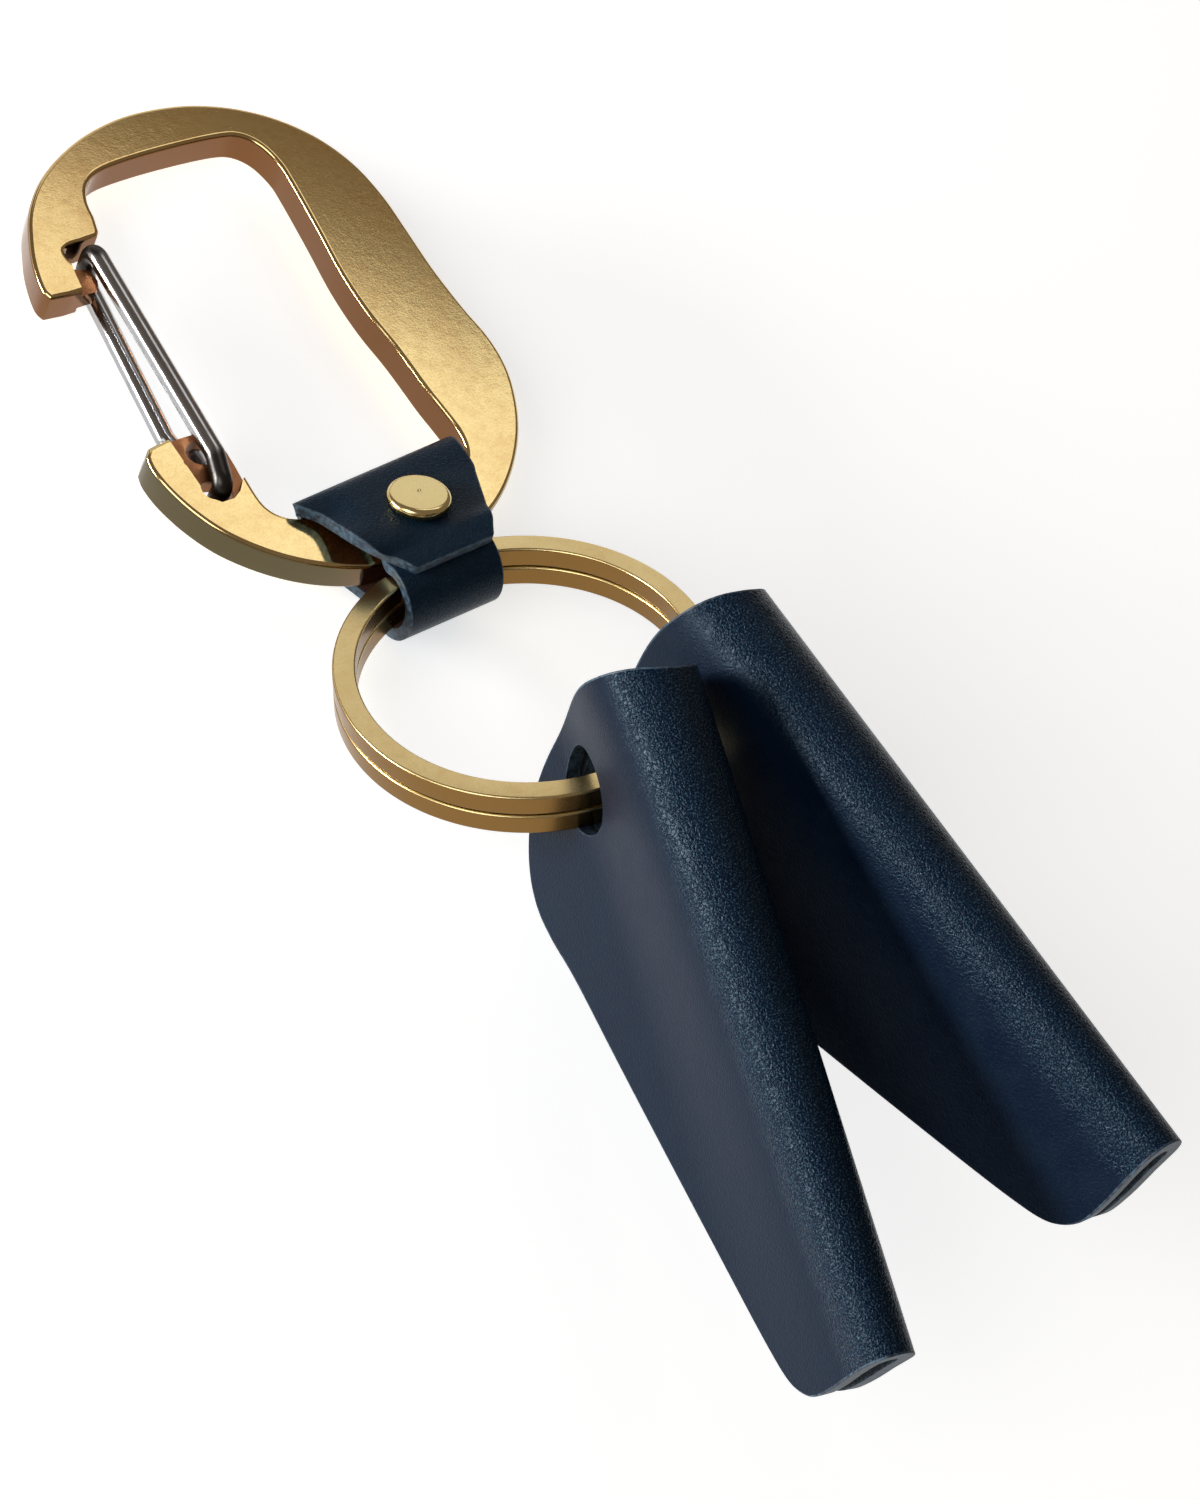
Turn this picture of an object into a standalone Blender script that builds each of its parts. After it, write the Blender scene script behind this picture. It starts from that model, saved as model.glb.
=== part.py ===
"""Key holder: brass plate carabiner, wire gate, leather strap, split ring and two key covers.

Lengths are metres.  +Z is up, away from the surface the holder lies on, +Y runs from the
split ring to the top of the carabiner and +X towards the carabiner's solid spine.  The
origin is on the rivet's axis, level with the lowest face of the holder.
"""

import math

import bmesh
import bpy
from mathutils import Matrix, Vector

# Driving dimensions

CARABINER_LENGTH = 0.0510
PLATE_THICKNESS = 0.0035
PLATE_CHAMFER = 0.00035

WIRE_DIAMETER = 0.0018
WIRE_BEND_RADIUS = 0.0014

STRAP_LEATHER = 0.00115
STRAP_FOLD_WIDTH = 0.0169
STRAP_FOLD_SLACK = 0.0007
STRAP_LOOP_WIDTH = 0.0091
STRAP_END_WIDTH = 0.0076

RIVET_CAP_DIAMETER = 0.0057
RIVET_CAP_HEIGHT = 0.00115
RIVET_SHEET = 0.0003
RIVET_TUBE_DIAMETER = 0.0021
RIVET_POST_DIAMETER = 0.0010

RING_DIAMETER = 0.0320
RING_WIRE_WIDTH = 0.0018
RING_WIRE_HEIGHT = 0.00193
RING_TURN_GAP = 0.00020
RING_EDGE_ROUND = 0.00018

COVER_LENGTH = 0.0575
COVER_LEATHER = 0.0013
COVER_SPINE_THICKNESS = 0.0086
COVER_TIP_THICKNESS = 0.0042
COVER_EDGE_THICKNESS = 0.0030
COVER_HOLE_DIAMETER = 0.0078
FRONT_COVER_HANG = (0.0001, 0.0006)
BACK_COVER_HANG = (-0.0002, 0.0003)

SMALL_GAP = 0.0002
FREE_GAP = 0.0003

# Angles, in degrees

RING_HEADING = 3.9
RING_PITCH = 22.7
RING_ROLL = 9.2
RING_JOIN_TURN = -90.0
RING_RAMP_TURN = 26.0

# Each cover: place round the ring, then heading, dip and lean of the cover.
FRONT_COVER_TURNS = (-9.3, -14.5, -2.1, 5.4)
BACK_COVER_TURNS = (23.9, -1.5, 8.5, 19.0)

GATE_TRAVEL = 20.0

# Outlines, as shares of the length of the part that they belong to

# Outer edge of the carabiner from the nose, round the spine, to the hook's tip.
OUTER_SHARES = (
    (-0.3720, 0.5960), (-0.3780, 0.6180), (-0.3690, 0.6660), (-0.3520, 0.7130), (-0.3230, 0.7700),
    (-0.2760, 0.8240), (-0.2150, 0.8660), (-0.1450, 0.8970), (-0.0650, 0.9150), (0.0150, 0.9150),
    (0.0850, 0.9030), (0.1550, 0.8760), (0.2200, 0.8330), (0.2720, 0.7760), (0.3080, 0.7050),
    (0.3250, 0.6250), (0.3290, 0.5400), (0.3320, 0.4500), (0.3420, 0.3600), (0.3540, 0.2900),
    (0.3520, 0.2250), (0.3340, 0.1630), (0.3030, 0.1020), (0.2580, 0.0450), (0.2050, -0.0020),
    (0.1480, -0.0350), (0.0860, -0.0540), (0.0220, -0.0590), (-0.0420, -0.0590),
    (-0.1060, -0.0560), (-0.1680, -0.0350), (-0.2250, -0.0030), (-0.2750, 0.0380),
    (-0.3170, 0.0860), (-0.3470, 0.1400), (-0.3660, 0.1950), (-0.3720, 0.2380),
    (-0.3680, 0.2620),
)

# Tip of the hook, from its outer to its inner side.
HOOK_TIP_SHARES = (
    (-0.3560, 0.2760), (-0.3260, 0.2810), (-0.2900, 0.2840), (-0.2600, 0.2840),
)

# Inner edge of the carabiner from the hook's tip, round the opening, to the lip.
INNER_SHARES = (
    (-0.2510, 0.2790), (-0.2260, 0.2450), (-0.2230, 0.2150), (-0.2240, 0.1700),
    (-0.2230, 0.1250), (-0.2150, 0.0990), (-0.1970, 0.0800), (-0.1720, 0.0690),
    (-0.1300, 0.0667), (-0.0300, 0.0667), (0.0700, 0.0667), (0.1300, 0.0670),
    (0.1600, 0.0710), (0.1810, 0.0900), (0.1890, 0.1300), (0.1840, 0.1800), (0.1780, 0.2250),
    (0.1700, 0.3200), (0.1580, 0.4050), (0.1550, 0.4950), (0.1620, 0.6000), (0.1670, 0.7000),
    (0.1660, 0.7450), (0.1520, 0.7900), (0.1250, 0.8180), (0.0850, 0.8270), (0.0020, 0.8290),
    (-0.0900, 0.8260), (-0.1600, 0.8170), (-0.1950, 0.7960), (-0.2120, 0.7630),
    (-0.2160, 0.7300),
)

# Lip, notch and end of the nose.
LIP_SHARES = ((-0.2230, 0.7010), (-0.2300, 0.6930))
NOTCH_SHARES = (
    (-0.2640, 0.6890), (-0.2900, 0.6880), (-0.3010, 0.6790), (-0.3020, 0.6640),
    (-0.2980, 0.6520), (-0.2880, 0.6460), (-0.2780, 0.6440), (-0.2690, 0.6380),
)
NOSE_END_SHARES = ((-0.2670, 0.6160), (-0.2770, 0.5980), (-0.2950, 0.5960), (-0.3350, 0.5940))

# Part of the nose that is cut back on both faces, leaving the middle web.
NOSE_STEP_SHARES = (
    (-0.3130, 0.5700), (-0.3070, 0.6300), (-0.3015, 0.6600), (-0.2950, 0.6800),
    (-0.2640, 0.6700), (-0.2400, 0.6000), (-0.2400, 0.5700),
)

# Recess for the wire in both faces of the hook.
RECESS_SHARES = (
    (-0.3170, 0.3200), (-0.3150, 0.2700), (-0.3080, 0.1700), (-0.3030, 0.1530),
    (-0.2890, 0.1400), (-0.2650, 0.1400), (-0.2480, 0.1500), (-0.2330, 0.1680),
    (-0.1900, 0.2000), (-0.1900, 0.3200),
)

# Where the two ends of the wire enter the hook, and where the wire turns in the nose.
UPPER_END_SHARE = (-0.2740, 0.1660)
LOWER_END_SHARE = (-0.2680, 0.2480)
WIRE_TURN_SHARE = (-0.2560, 0.6640)
UPPER_LEG_SHARE = (-0.2570, 0.2270)
LOWER_LEG_SHARE = (-0.2640, 0.3250)

RECESS_DEPTH_SHARE = 0.26

# Cover outline: along the fold from the hole, and away from the fold.
COVER_SHARES = (
    (-0.0870, -0.1860), (-0.1010, -0.1327), (-0.1080, -0.0708), (-0.1060, -0.0090),
    (-0.0920, 0.0570), (-0.0670, 0.1150), (-0.0250, 0.1660), (0.0250, 0.1980),
    (0.0780, 0.2080), (0.1330, 0.1965), (0.2120, 0.1664), (0.3540, 0.1239), (0.5310, 0.0690),
    (0.7080, 0.0124), (0.8140, -0.0248), (0.8600, -0.0478), (0.8867, -0.0832),
    (0.8920, -0.1274), (0.8900, -0.1860),
)
COVER_START_SHARE = -0.0830
COVER_STOP_SHARE = 0.8890
COVER_FOLD_SHARE = -0.2566
COVER_REACH_SHARE = 0.2350
COVER_CLOSED_SHARE = 0.0350

SMOOTH_STEPS = 3
BEND_STEPS = 5
FACE_STEPS = 8
ARC_STEPS = 12
ROUND_SIDES = 40
RING_STEPS = 168

# Derived levels and positions

WIRE_RADIUS = WIRE_DIAMETER / 2
RECESS_DEPTH = PLATE_THICKNESS * RECESS_DEPTH_SHARE
STRAP_UNDER = SMALL_GAP + STRAP_LEATHER
BASE_CAP_HEIGHT = RIVET_CAP_HEIGHT * 0.75
PLATE_LOW = STRAP_UNDER + SMALL_GAP + BASE_CAP_HEIGHT
PLATE_TOP = PLATE_LOW + PLATE_THICKNESS
PLATE_MIDDLE = (PLATE_LOW + PLATE_TOP) / 2

LOW_LAYER = PLATE_LOW - SMALL_GAP - STRAP_LEATHER / 2
MID_LAYER = PLATE_TOP + SMALL_GAP + STRAP_LEATHER / 2
TOP_LAYER = MID_LAYER + STRAP_LEATHER + SMALL_GAP

BAR_OUTER = CARABINER_LENGTH * 0.0590
BAR_INNER = CARABINER_LENGTH * 0.0667

RING_HEIGHT = RING_WIRE_HEIGHT * 2 + RING_TURN_GAP
RING_MEAN = (RING_DIAMETER - RING_WIRE_WIDTH) / 2
RING_SAG = STRAP_LOOP_WIDTH ** 2 / 16 / RING_MEAN
RING_CORNER = math.hypot(RING_WIRE_WIDTH / 2 + RING_SAG, RING_HEIGHT / 2)
LOOP_INNER = RING_CORNER + SMALL_GAP
LOOP_MIDDLE = LOOP_INNER + STRAP_LEATHER / 2
LOOP_X = -STRAP_LOOP_WIDTH * 0.035
LOOP_Y = -(BAR_OUTER + RING_CORNER + SMALL_GAP)
LOOP_Z = PLATE_TOP - PLATE_THICKNESS * 0.24

RIVET_TOP = TOP_LAYER + STRAP_LEATHER / 2 + FREE_GAP * 1.2
RIVET_BOTTOM = LOW_LAYER - STRAP_LEATHER / 2 - SMALL_GAP


def scaled(pairs, length):
    """Turns pairs of shares into pairs of lengths."""
    return [(a * length, b * length) for a, b in pairs]


def smooth_open(points, steps=SMOOTH_STEPS):
    """Runs a smooth curve through points of any dimension and returns samples of it."""
    count = len(points)
    result = []
    for index in range(count - 1):
        before = points[max(index - 1, 0)]
        start = points[index]
        stop = points[index + 1]
        after = points[min(index + 2, count - 1)]
        for step in range(steps):
            t = step / steps
            result.append(tuple(
                0.5 * (2 * b + (c - a) * t + (2 * a - 5 * b + 4 * c - d) * t * t
                       + (3 * b - a - 3 * c + d) * t * t * t)
                for a, b, c, d in zip(before, start, stop, after)))
    result.append(tuple(points[-1]))
    return result


# Scene helpers


def clear_scene():
    """Removes everything that the new file starts with."""
    for item in list(bpy.data.objects):
        bpy.data.objects.remove(item, do_unlink=True)


def make_collection(name):
    """Adds a collection to the scene."""
    made = bpy.data.collections.new(name)
    bpy.context.scene.collection.children.link(made)
    return made


clear_scene()
HOLDER = make_collection("key_holder")
CUTTERS = make_collection("cutters")


def make_material(name, colour, metallic, roughness):
    """Makes a plain material for one piece."""
    made = bpy.data.materials.new(name)
    made.use_nodes = True
    shader = made.node_tree.nodes["Principled BSDF"]
    shader.inputs["Base Color"].default_value = (*colour, 1.0)
    shader.inputs["Metallic"].default_value = metallic
    shader.inputs["Roughness"].default_value = roughness
    return made


def add_object(name, mesh, where):
    """Puts a mesh in a collection as an object."""
    made = bpy.data.objects.new(name, mesh)
    where.objects.link(made)
    return made


def tidy_mesh(mesh):
    """Merges doubled points and turns all faces outwards."""
    work = bmesh.new()
    work.from_mesh(mesh)
    bmesh.ops.remove_doubles(work, verts=work.verts, dist=SMALL_GAP / 100)
    bmesh.ops.recalc_face_normals(work, faces=work.faces)
    work.to_mesh(mesh)
    work.free()


def curve_mesh(name, curve):
    """Turns a curve into a clean mesh."""
    holder = bpy.data.objects.new(name + "_curve", curve)
    bpy.context.scene.collection.objects.link(holder)
    bpy.context.view_layer.update()
    graph = bpy.context.evaluated_depsgraph_get()
    mesh = bpy.data.meshes.new_from_object(holder.evaluated_get(graph))
    bpy.data.objects.remove(holder, do_unlink=True)
    mesh.name = name
    tidy_mesh(mesh)
    return mesh


def prism_mesh(name, outline, low, high):
    """Fills a closed outline and gives it a height along Z."""
    curve = bpy.data.curves.new(name, "CURVE")
    curve.dimensions = "2D"
    curve.fill_mode = "BOTH"
    curve.extrude = (high - low) / 2
    spline = curve.splines.new("POLY")
    spline.points.add(len(outline) - 1)
    for point, (x, y) in zip(spline.points, outline):
        point.co = (x, y, 0, 1)
    spline.use_cyclic_u = True
    mesh = curve_mesh(name, curve)
    mesh.transform(Matrix.Translation((0, 0, (high + low) / 2)))
    return mesh


def wire_mesh(name, path, radius):
    """Makes a round bar along an open path, with closed ends."""
    curve = bpy.data.curves.new(name, "CURVE")
    curve.dimensions = "3D"
    curve.bevel_depth = radius
    curve.bevel_resolution = 3
    curve.use_fill_caps = True
    spline = curve.splines.new("POLY")
    spline.points.add(len(path) - 1)
    for point, place in zip(spline.points, path):
        point.co = (*place, 1)
    return curve_mesh(name, curve)


def loft_mesh(name, rings):
    """Joins a row of equal closed sections into one solid."""
    work = bmesh.new()
    rows = [[work.verts.new(point) for point in ring] for ring in rings]
    size = len(rows[0])
    for first, second in zip(rows[:-1], rows[1:]):
        for index in range(size):
            follow = (index + 1) % size
            work.faces.new((first[index], first[follow], second[follow], second[index]))
    work.faces.new(list(reversed(rows[0])))
    work.faces.new(rows[-1])
    bmesh.ops.recalc_face_normals(work, faces=work.faces)
    mesh = bpy.data.meshes.new(name)
    work.to_mesh(mesh)
    work.free()
    return mesh


def turned_mesh(name, profile, sides=ROUND_SIDES):
    """Spins a radius and height profile that starts and ends on the Z axis."""
    work = bmesh.new()
    points = [work.verts.new((radius, 0, height)) for radius, height in profile]
    edges = [work.edges.new(pair) for pair in zip(points[:-1], points[1:])]
    bmesh.ops.spin(work, geom=points + edges, cent=(0, 0, 0), axis=(0, 0, 1),
                   angle=2 * math.pi, steps=sides, use_merge=True)
    bmesh.ops.remove_doubles(work, verts=work.verts, dist=SMALL_GAP / 100)
    bmesh.ops.recalc_face_normals(work, faces=work.faces)
    mesh = bpy.data.meshes.new(name)
    work.to_mesh(mesh)
    work.free()
    return mesh


def turned_tube_mesh(name, profile, sides=ROUND_SIDES):
    """Spins a closed radius and height profile that stays off the Z axis."""
    return turned_mesh(name, list(profile) + [profile[0]], sides)


def add_cutter(name, mesh):
    """Adds a cutting body that is never shown."""
    made = add_object(name, mesh, CUTTERS)
    made.hide_render = True
    made.display_type = "WIRE"
    return made


def cylinder_cutter(name, radius, low, high, centre=(0, 0)):
    """Adds a round upright cutting body."""
    profile = ((0, low), (radius, low), (radius, high), (0, high))
    mesh = turned_mesh(name, profile)
    mesh.transform(Matrix.Translation((centre[0], centre[1], 0)))
    return add_cutter(name, mesh)


def apply_cut(target, cutter, operation="DIFFERENCE"):
    """Adds an exact Boolean to a piece."""
    made = target.modifiers.new(cutter.name, "BOOLEAN")
    made.operation = operation
    made.solver = "EXACT"
    made.object = cutter
    return made


def add_chamfer(target, width, segments, angle):
    """Adds an edge chamfer to the sharp edges of a piece."""
    made = target.modifiers.new("chamfer", "BEVEL")
    made.width = width
    made.segments = segments
    made.limit_method = "ANGLE"
    made.angle_limit = math.radians(angle)
    made.use_clamp_overlap = True
    return made


def set_origin(item, origin):
    """Moves the origin of a piece without moving its shape."""
    item.data.transform(Matrix.Translation(-Vector(origin)))
    item.location = origin


# Carabiner


def carabiner_outline():
    """Outline of the plate, open between the nose and the hook."""
    parts = (OUTER_SHARES, HOOK_TIP_SHARES, INNER_SHARES, LIP_SHARES, NOTCH_SHARES,
             NOSE_END_SHARES)
    outline = []
    for part in parts:
        outline.extend(smooth_open(scaled(part, CARABINER_LENGTH)))
    return outline


def gate_points():
    """Plan positions of the wire's ends, its turn and its two leg bends."""
    shares = (UPPER_END_SHARE, LOWER_END_SHARE, WIRE_TURN_SHARE, UPPER_LEG_SHARE,
              LOWER_LEG_SHARE)
    return scaled(shares, CARABINER_LENGTH)


def gate_axis():
    """Plan position of the axis that the gate swings about."""
    upper, lower = gate_points()[:2]
    return ((upper[0] + lower[0]) / 2, (upper[1] + lower[1]) / 2)


def swung(point, centre, degrees):
    """Turns a plan position clockwise about a centre."""
    angle = -math.radians(degrees)
    x = point[0] - centre[0]
    y = point[1] - centre[1]
    return (centre[0] + x * math.cos(angle) - y * math.sin(angle),
            centre[1] + x * math.sin(angle) + y * math.cos(angle))


def slot_outline(path, radius):
    """Outline of a round-ended slot along a short path."""
    first = Vector(path[0])
    last = Vector(path[-1])
    ahead = (last - first).normalized()
    start = math.atan2(ahead.y, ahead.x)
    outline = []
    for centre, turn in ((last, -math.pi / 2), (first, math.pi / 2)):
        for step in range(ARC_STEPS + 1):
            angle = start + turn + math.pi * step / ARC_STEPS
            outline.append((centre.x + radius * math.cos(angle),
                            centre.y + radius * math.sin(angle)))
    return outline


def build_carabiner():
    """Plate with its nose web, hook recesses, wire slots and rivet hole."""
    mesh = prism_mesh("carabiner_body", carabiner_outline(), PLATE_LOW, PLATE_TOP)
    plate = add_object("carabiner_body", mesh, HOLDER)
    plate.data.materials.append(make_material("brass_plate", (0.70, 0.50, 0.20), 1.0, 0.38))
    add_chamfer(plate, PLATE_CHAMFER, 1, 60)
    for name, table in (("nose_step", NOSE_STEP_SHARES), ("hook_recess", RECESS_SHARES)):
        outline = scaled(table, CARABINER_LENGTH)
        upper = prism_mesh(name + "_upper", outline, PLATE_TOP - RECESS_DEPTH,
                           PLATE_TOP + PLATE_THICKNESS)
        lower = prism_mesh(name + "_lower", outline, PLATE_LOW - PLATE_THICKNESS,
                           PLATE_LOW + RECESS_DEPTH)
        apply_cut(plate, add_cutter(name + "_upper", upper))
        apply_cut(plate, add_cutter(name + "_lower", lower))
    centre = gate_axis()
    for name, point in zip(("slot_upper", "slot_lower"), gate_points()[:2]):
        path = (point, swung(point, centre, GATE_TRAVEL))
        outline = slot_outline(path, WIRE_RADIUS + FREE_GAP)
        cutter = prism_mesh(name, outline, PLATE_LOW - PLATE_THICKNESS,
                            PLATE_TOP + PLATE_THICKNESS)
        apply_cut(plate, add_cutter(name, cutter))
    hole = cylinder_cutter("plate_rivet_hole", RIVET_TUBE_DIAMETER / 2 + FREE_GAP,
                           PLATE_LOW - PLATE_THICKNESS, PLATE_TOP + PLATE_THICKNESS)
    apply_cut(plate, hole)
    return plate


def rounded_path(points, radius):
    """Replaces each inner corner of a path with an arc."""
    result = [Vector(points[0])]
    for before, corner, after in zip(points[:-2], points[1:-1], points[2:]):
        corner = Vector(corner)
        back = Vector(before) - corner
        ahead = Vector(after) - corner
        angle = back.angle(ahead)
        cut = min(radius / math.tan(angle / 2), back.length * 0.45, ahead.length * 0.45)
        first = corner + back.normalized() * cut
        last = corner + ahead.normalized() * cut
        for step in range(BEND_STEPS + 1):
            t = step / BEND_STEPS
            result.append(first * (1 - t) ** 2 + corner * (2 * t * (1 - t)) + last * t ** 2)
    result.append(Vector(points[-1]))
    return result


def build_gate():
    """One steel wire: two legs, a turn in the nose and two bent-in ends."""
    upper, lower, turn, upper_leg, lower_leg = gate_points()
    seat = RECESS_DEPTH - WIRE_RADIUS - FREE_GAP
    high = PLATE_TOP - seat
    low = PLATE_LOW + seat
    path = (
        (*upper, PLATE_TOP - RECESS_DEPTH * 2),
        (*upper, high),
        (*upper_leg, high),
        (*turn, high),
        (*turn, low),
        (*lower_leg, low),
        (*lower, low),
        (*lower, PLATE_LOW + RECESS_DEPTH * 2),
    )
    mesh = wire_mesh("gate_wire", rounded_path(path, WIRE_BEND_RADIUS), WIRE_RADIUS)
    gate = add_object("gate_wire", mesh, HOLDER)
    gate.data.materials.append(make_material("steel_wire", (0.55, 0.56, 0.58), 1.0, 0.22))
    set_origin(gate, (*gate_axis(), PLATE_MIDDLE))
    return gate


# Strap and rivet


def loop_point(degrees, radius):
    """Point of the strap's path round the ring, seen from the side."""
    angle = math.radians(degrees)
    return (LOOP_Y + radius * math.cos(angle), LOOP_Z + radius * math.sin(angle))


def strap_stations():
    """Rows of (y, z, left, right, skew, rise) along the strap, hidden end first."""
    loop = STRAP_LOOP_WIDTH / 2
    fold = STRAP_FOLD_WIDTH / 2
    end = STRAP_END_WIDTH / 2
    reach = RIVET_TUBE_DIAMETER
    shift = STRAP_LEATHER * 0.40
    skew = STRAP_FOLD_SLACK / fold
    rise = math.tan(math.radians(RING_ROLL))
    turn_y = BAR_INNER + STRAP_FOLD_SLACK + SMALL_GAP * 2 + STRAP_LEATHER / 2
    rows = [(reach * 0.95, MID_LAYER, -loop, loop, 0, 0), (0, MID_LAYER, -loop, loop, 0, 0),
            (-reach, MID_LAYER, -loop, loop, 0, 0)]
    for degrees in (54, 70, 90, 110, 130, 150, 170, 190, 210, 230, 250):
        y, z = loop_point(degrees, LOOP_MIDDLE)
        rows.append((y, z, LOOP_X - loop, LOOP_X + loop, 0, rise))
    lowest = loop_point(270, LOOP_MIDDLE)[1]
    rows.append((LOOP_Y, (lowest * 2 + LOW_LAYER) / 3, LOOP_X - loop, LOOP_X + loop, 0, rise))
    rows.append((-BAR_OUTER - STRAP_LEATHER, LOW_LAYER + SMALL_GAP / 2, LOOP_X - loop,
                 LOOP_X + loop, 0, rise / 4))
    rows.append((-BAR_OUTER * 0.90, LOW_LAYER, -loop * 1.20, loop * 1.05, 0, 0))
    rows.append((-BAR_OUTER * 0.20, LOW_LAYER, -loop * 1.40, loop * 1.40, 0, 0))
    rows.append((BAR_INNER * 0.45, LOW_LAYER - SMALL_GAP * 0.5, -fold * 0.90, fold * 0.90, 0,
                 0))
    rows.append((turn_y - STRAP_LEATHER * 0.45, LOW_LAYER + STRAP_LEATHER * 0.28, -fold, fold,
                 skew, 0))
    rows.append((turn_y, PLATE_LOW + PLATE_THICKNESS * 0.22, -fold - shift, fold - shift, skew,
                 0))
    rows.append((turn_y, PLATE_TOP - PLATE_THICKNESS * 0.10, -fold - shift, fold - shift, skew,
                 0))
    rows.append((turn_y - STRAP_LEATHER * 0.42, MID_LAYER + STRAP_LEATHER * 0.45,
                 -fold * 0.99 - shift, fold * 0.98 - shift, skew, 0))
    rows.append((reach * 0.98, TOP_LAYER - SMALL_GAP * 0.2, -fold * 0.84 - shift / 2,
                 fold * 0.88 - shift / 2, 0, 0))
    rows.append((reach * 0.45, TOP_LAYER, -fold * 0.72, fold * 0.80, 0, 0))
    rows.append((-reach * 0.50, TOP_LAYER, -fold * 0.56, fold * 0.72, 0, 0))
    rows.append((-reach * 1.10, TOP_LAYER - SMALL_GAP * 0.2, -fold * 0.46, fold * 0.62, 0, 0))
    rows.append((-reach * 1.42, TOP_LAYER + SMALL_GAP * 0.8, -fold * 0.45, fold * 0.56, 0, 0))
    outer = LOOP_MIDDLE + STRAP_LEATHER + SMALL_GAP
    for degrees in (66, 84):
        y, z = loop_point(degrees, outer)
        rows.append((y, z, -end + shift, end * 0.96, 0, rise))
    return rows


def build_strap():
    """Leather strap: under the flap, round the ring, under the bar, over it and back."""
    stations = smooth_open(strap_stations(), 2)
    rings = []
    half = STRAP_LEATHER / 2
    edge = STRAP_LEATHER * 0.22
    for index, (y, z, left, right, skew, rise) in enumerate(stations):
        before = stations[max(index - 1, 0)]
        after = stations[min(index + 1, len(stations) - 1)]
        ahead = Vector((after[0] - before[0], after[1] - before[1])).normalized()
        side = Vector((-ahead.y, ahead.x))
        outline = ((left + edge, half), (left, half - edge), (left, edge - half),
                   (left + edge, -half), (right - edge, -half), (right, edge - half),
                   (right, half - edge), (right - edge, half))
        rings.append([(x, y + skew * x + side.x * offset,
                       z + rise * (x - LOOP_X) + side.y * offset) for x, offset in outline])
    strap = add_object("strap", loft_mesh("strap", rings), HOLDER)
    strap.data.materials.append(make_material("strap_leather", (0.030, 0.065, 0.105), 0.0, 0.55))
    hole = cylinder_cutter("strap_rivet_hole", RIVET_TUBE_DIAMETER / 2 + FREE_GAP,
                           PLATE_LOW - PLATE_THICKNESS, TOP_LAYER + PLATE_THICKNESS)
    apply_cut(strap, hole)
    return strap


def cap_profile(height):
    """Half section of a flat-topped cap shell whose open rim is at level 0."""
    radius = RIVET_CAP_DIAMETER / 2
    sheet = RIVET_SHEET
    inner = radius - sheet * 1.5
    flat = radius * 0.60
    outer = [(0, height)]
    for step in range(ARC_STEPS - 3):
        angle = math.pi / 2 * step / (ARC_STEPS - 4)
        outer.append((flat + (radius - flat) * math.sin(angle),
                      height * (0.42 + 0.58 * math.cos(angle))))
    ceiling = height * 0.62
    return outer + [(radius * 0.99, height * 0.18), (radius * 0.94, 0), (inner, 0),
                    (inner, ceiling * 0.9), (inner * 0.92, ceiling), (0, ceiling)]


def build_rivet():
    """The four stampings of a double cap rivet."""
    sheet = RIVET_SHEET
    flange = RIVET_CAP_DIAMETER * 0.34
    tube = RIVET_TUBE_DIAMETER / 2
    bore = tube - sheet
    brass = (0.83, 0.62, 0.27)
    pieces = []
    cap = turned_mesh("rivet_cap", cap_profile(RIVET_CAP_HEIGHT))
    cap.transform(Matrix.Translation((0, 0, RIVET_TOP)))
    pieces.append((cap, "rivet_cap_brass"))
    base = turned_mesh("rivet_base_cap", cap_profile(BASE_CAP_HEIGHT))
    base.transform(Matrix.Translation((0, 0, RIVET_BOTTOM)) @ Matrix.Rotation(math.pi, 4, "X"))
    pieces.append((base, "rivet_base_brass"))
    socket = turned_tube_mesh("rivet_socket", (
        (bore, PLATE_MIDDLE), (tube, PLATE_MIDDLE), (tube, RIVET_TOP + sheet * 0.2),
        (flange, RIVET_TOP + sheet * 0.2), (flange, RIVET_TOP + sheet * 1.2),
        (bore, RIVET_TOP + sheet * 1.2)))
    pieces.append((socket, "rivet_socket_brass"))
    foot = RIVET_BOTTOM - sheet * 0.2
    post = turned_mesh("rivet_post", (
        (0, foot - sheet), (flange, foot - sheet), (flange, foot), (RIVET_POST_DIAMETER / 2, foot),
        (RIVET_POST_DIAMETER / 2, TOP_LAYER - sheet), (RIVET_POST_DIAMETER / 3, TOP_LAYER),
        (0, TOP_LAYER)))
    pieces.append((post, "rivet_post_brass"))
    for mesh, name in pieces:
        item = add_object(mesh.name, mesh, HOLDER)
        item.data.materials.append(make_material(name, brass, 1.0, 0.25))


# Split ring


def ring_frame():
    """Centre, outward direction from the strap, side direction and normal of the ring."""
    pitch = math.radians(RING_PITCH)
    roll = math.radians(RING_ROLL)
    heading = math.radians(RING_HEADING)
    ahead = Vector((-math.sin(heading), -math.cos(heading), 0))
    level = Vector((math.cos(heading), -math.sin(heading), 0))
    up = Vector((0, 0, 1))
    away = ahead * math.cos(pitch) + up * math.sin(pitch)
    flat = up * math.cos(pitch) - ahead * math.sin(pitch)
    normal = flat * math.cos(roll) - level * math.sin(roll)
    side = level * math.cos(roll) + flat * math.sin(roll)
    centre = Vector((LOOP_X, LOOP_Y, LOOP_Z)) + away * (RING_MEAN - RING_SAG)
    return centre, away, side, normal


def ring_matrix():
    """Matrix from ring space (X side, Y away from the strap, Z normal) to the holder."""
    centre, away, side, normal = ring_frame()
    turn = Matrix((side, away, -normal)).transposed().to_4x4()
    return Matrix.Translation(centre) @ turn


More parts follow.
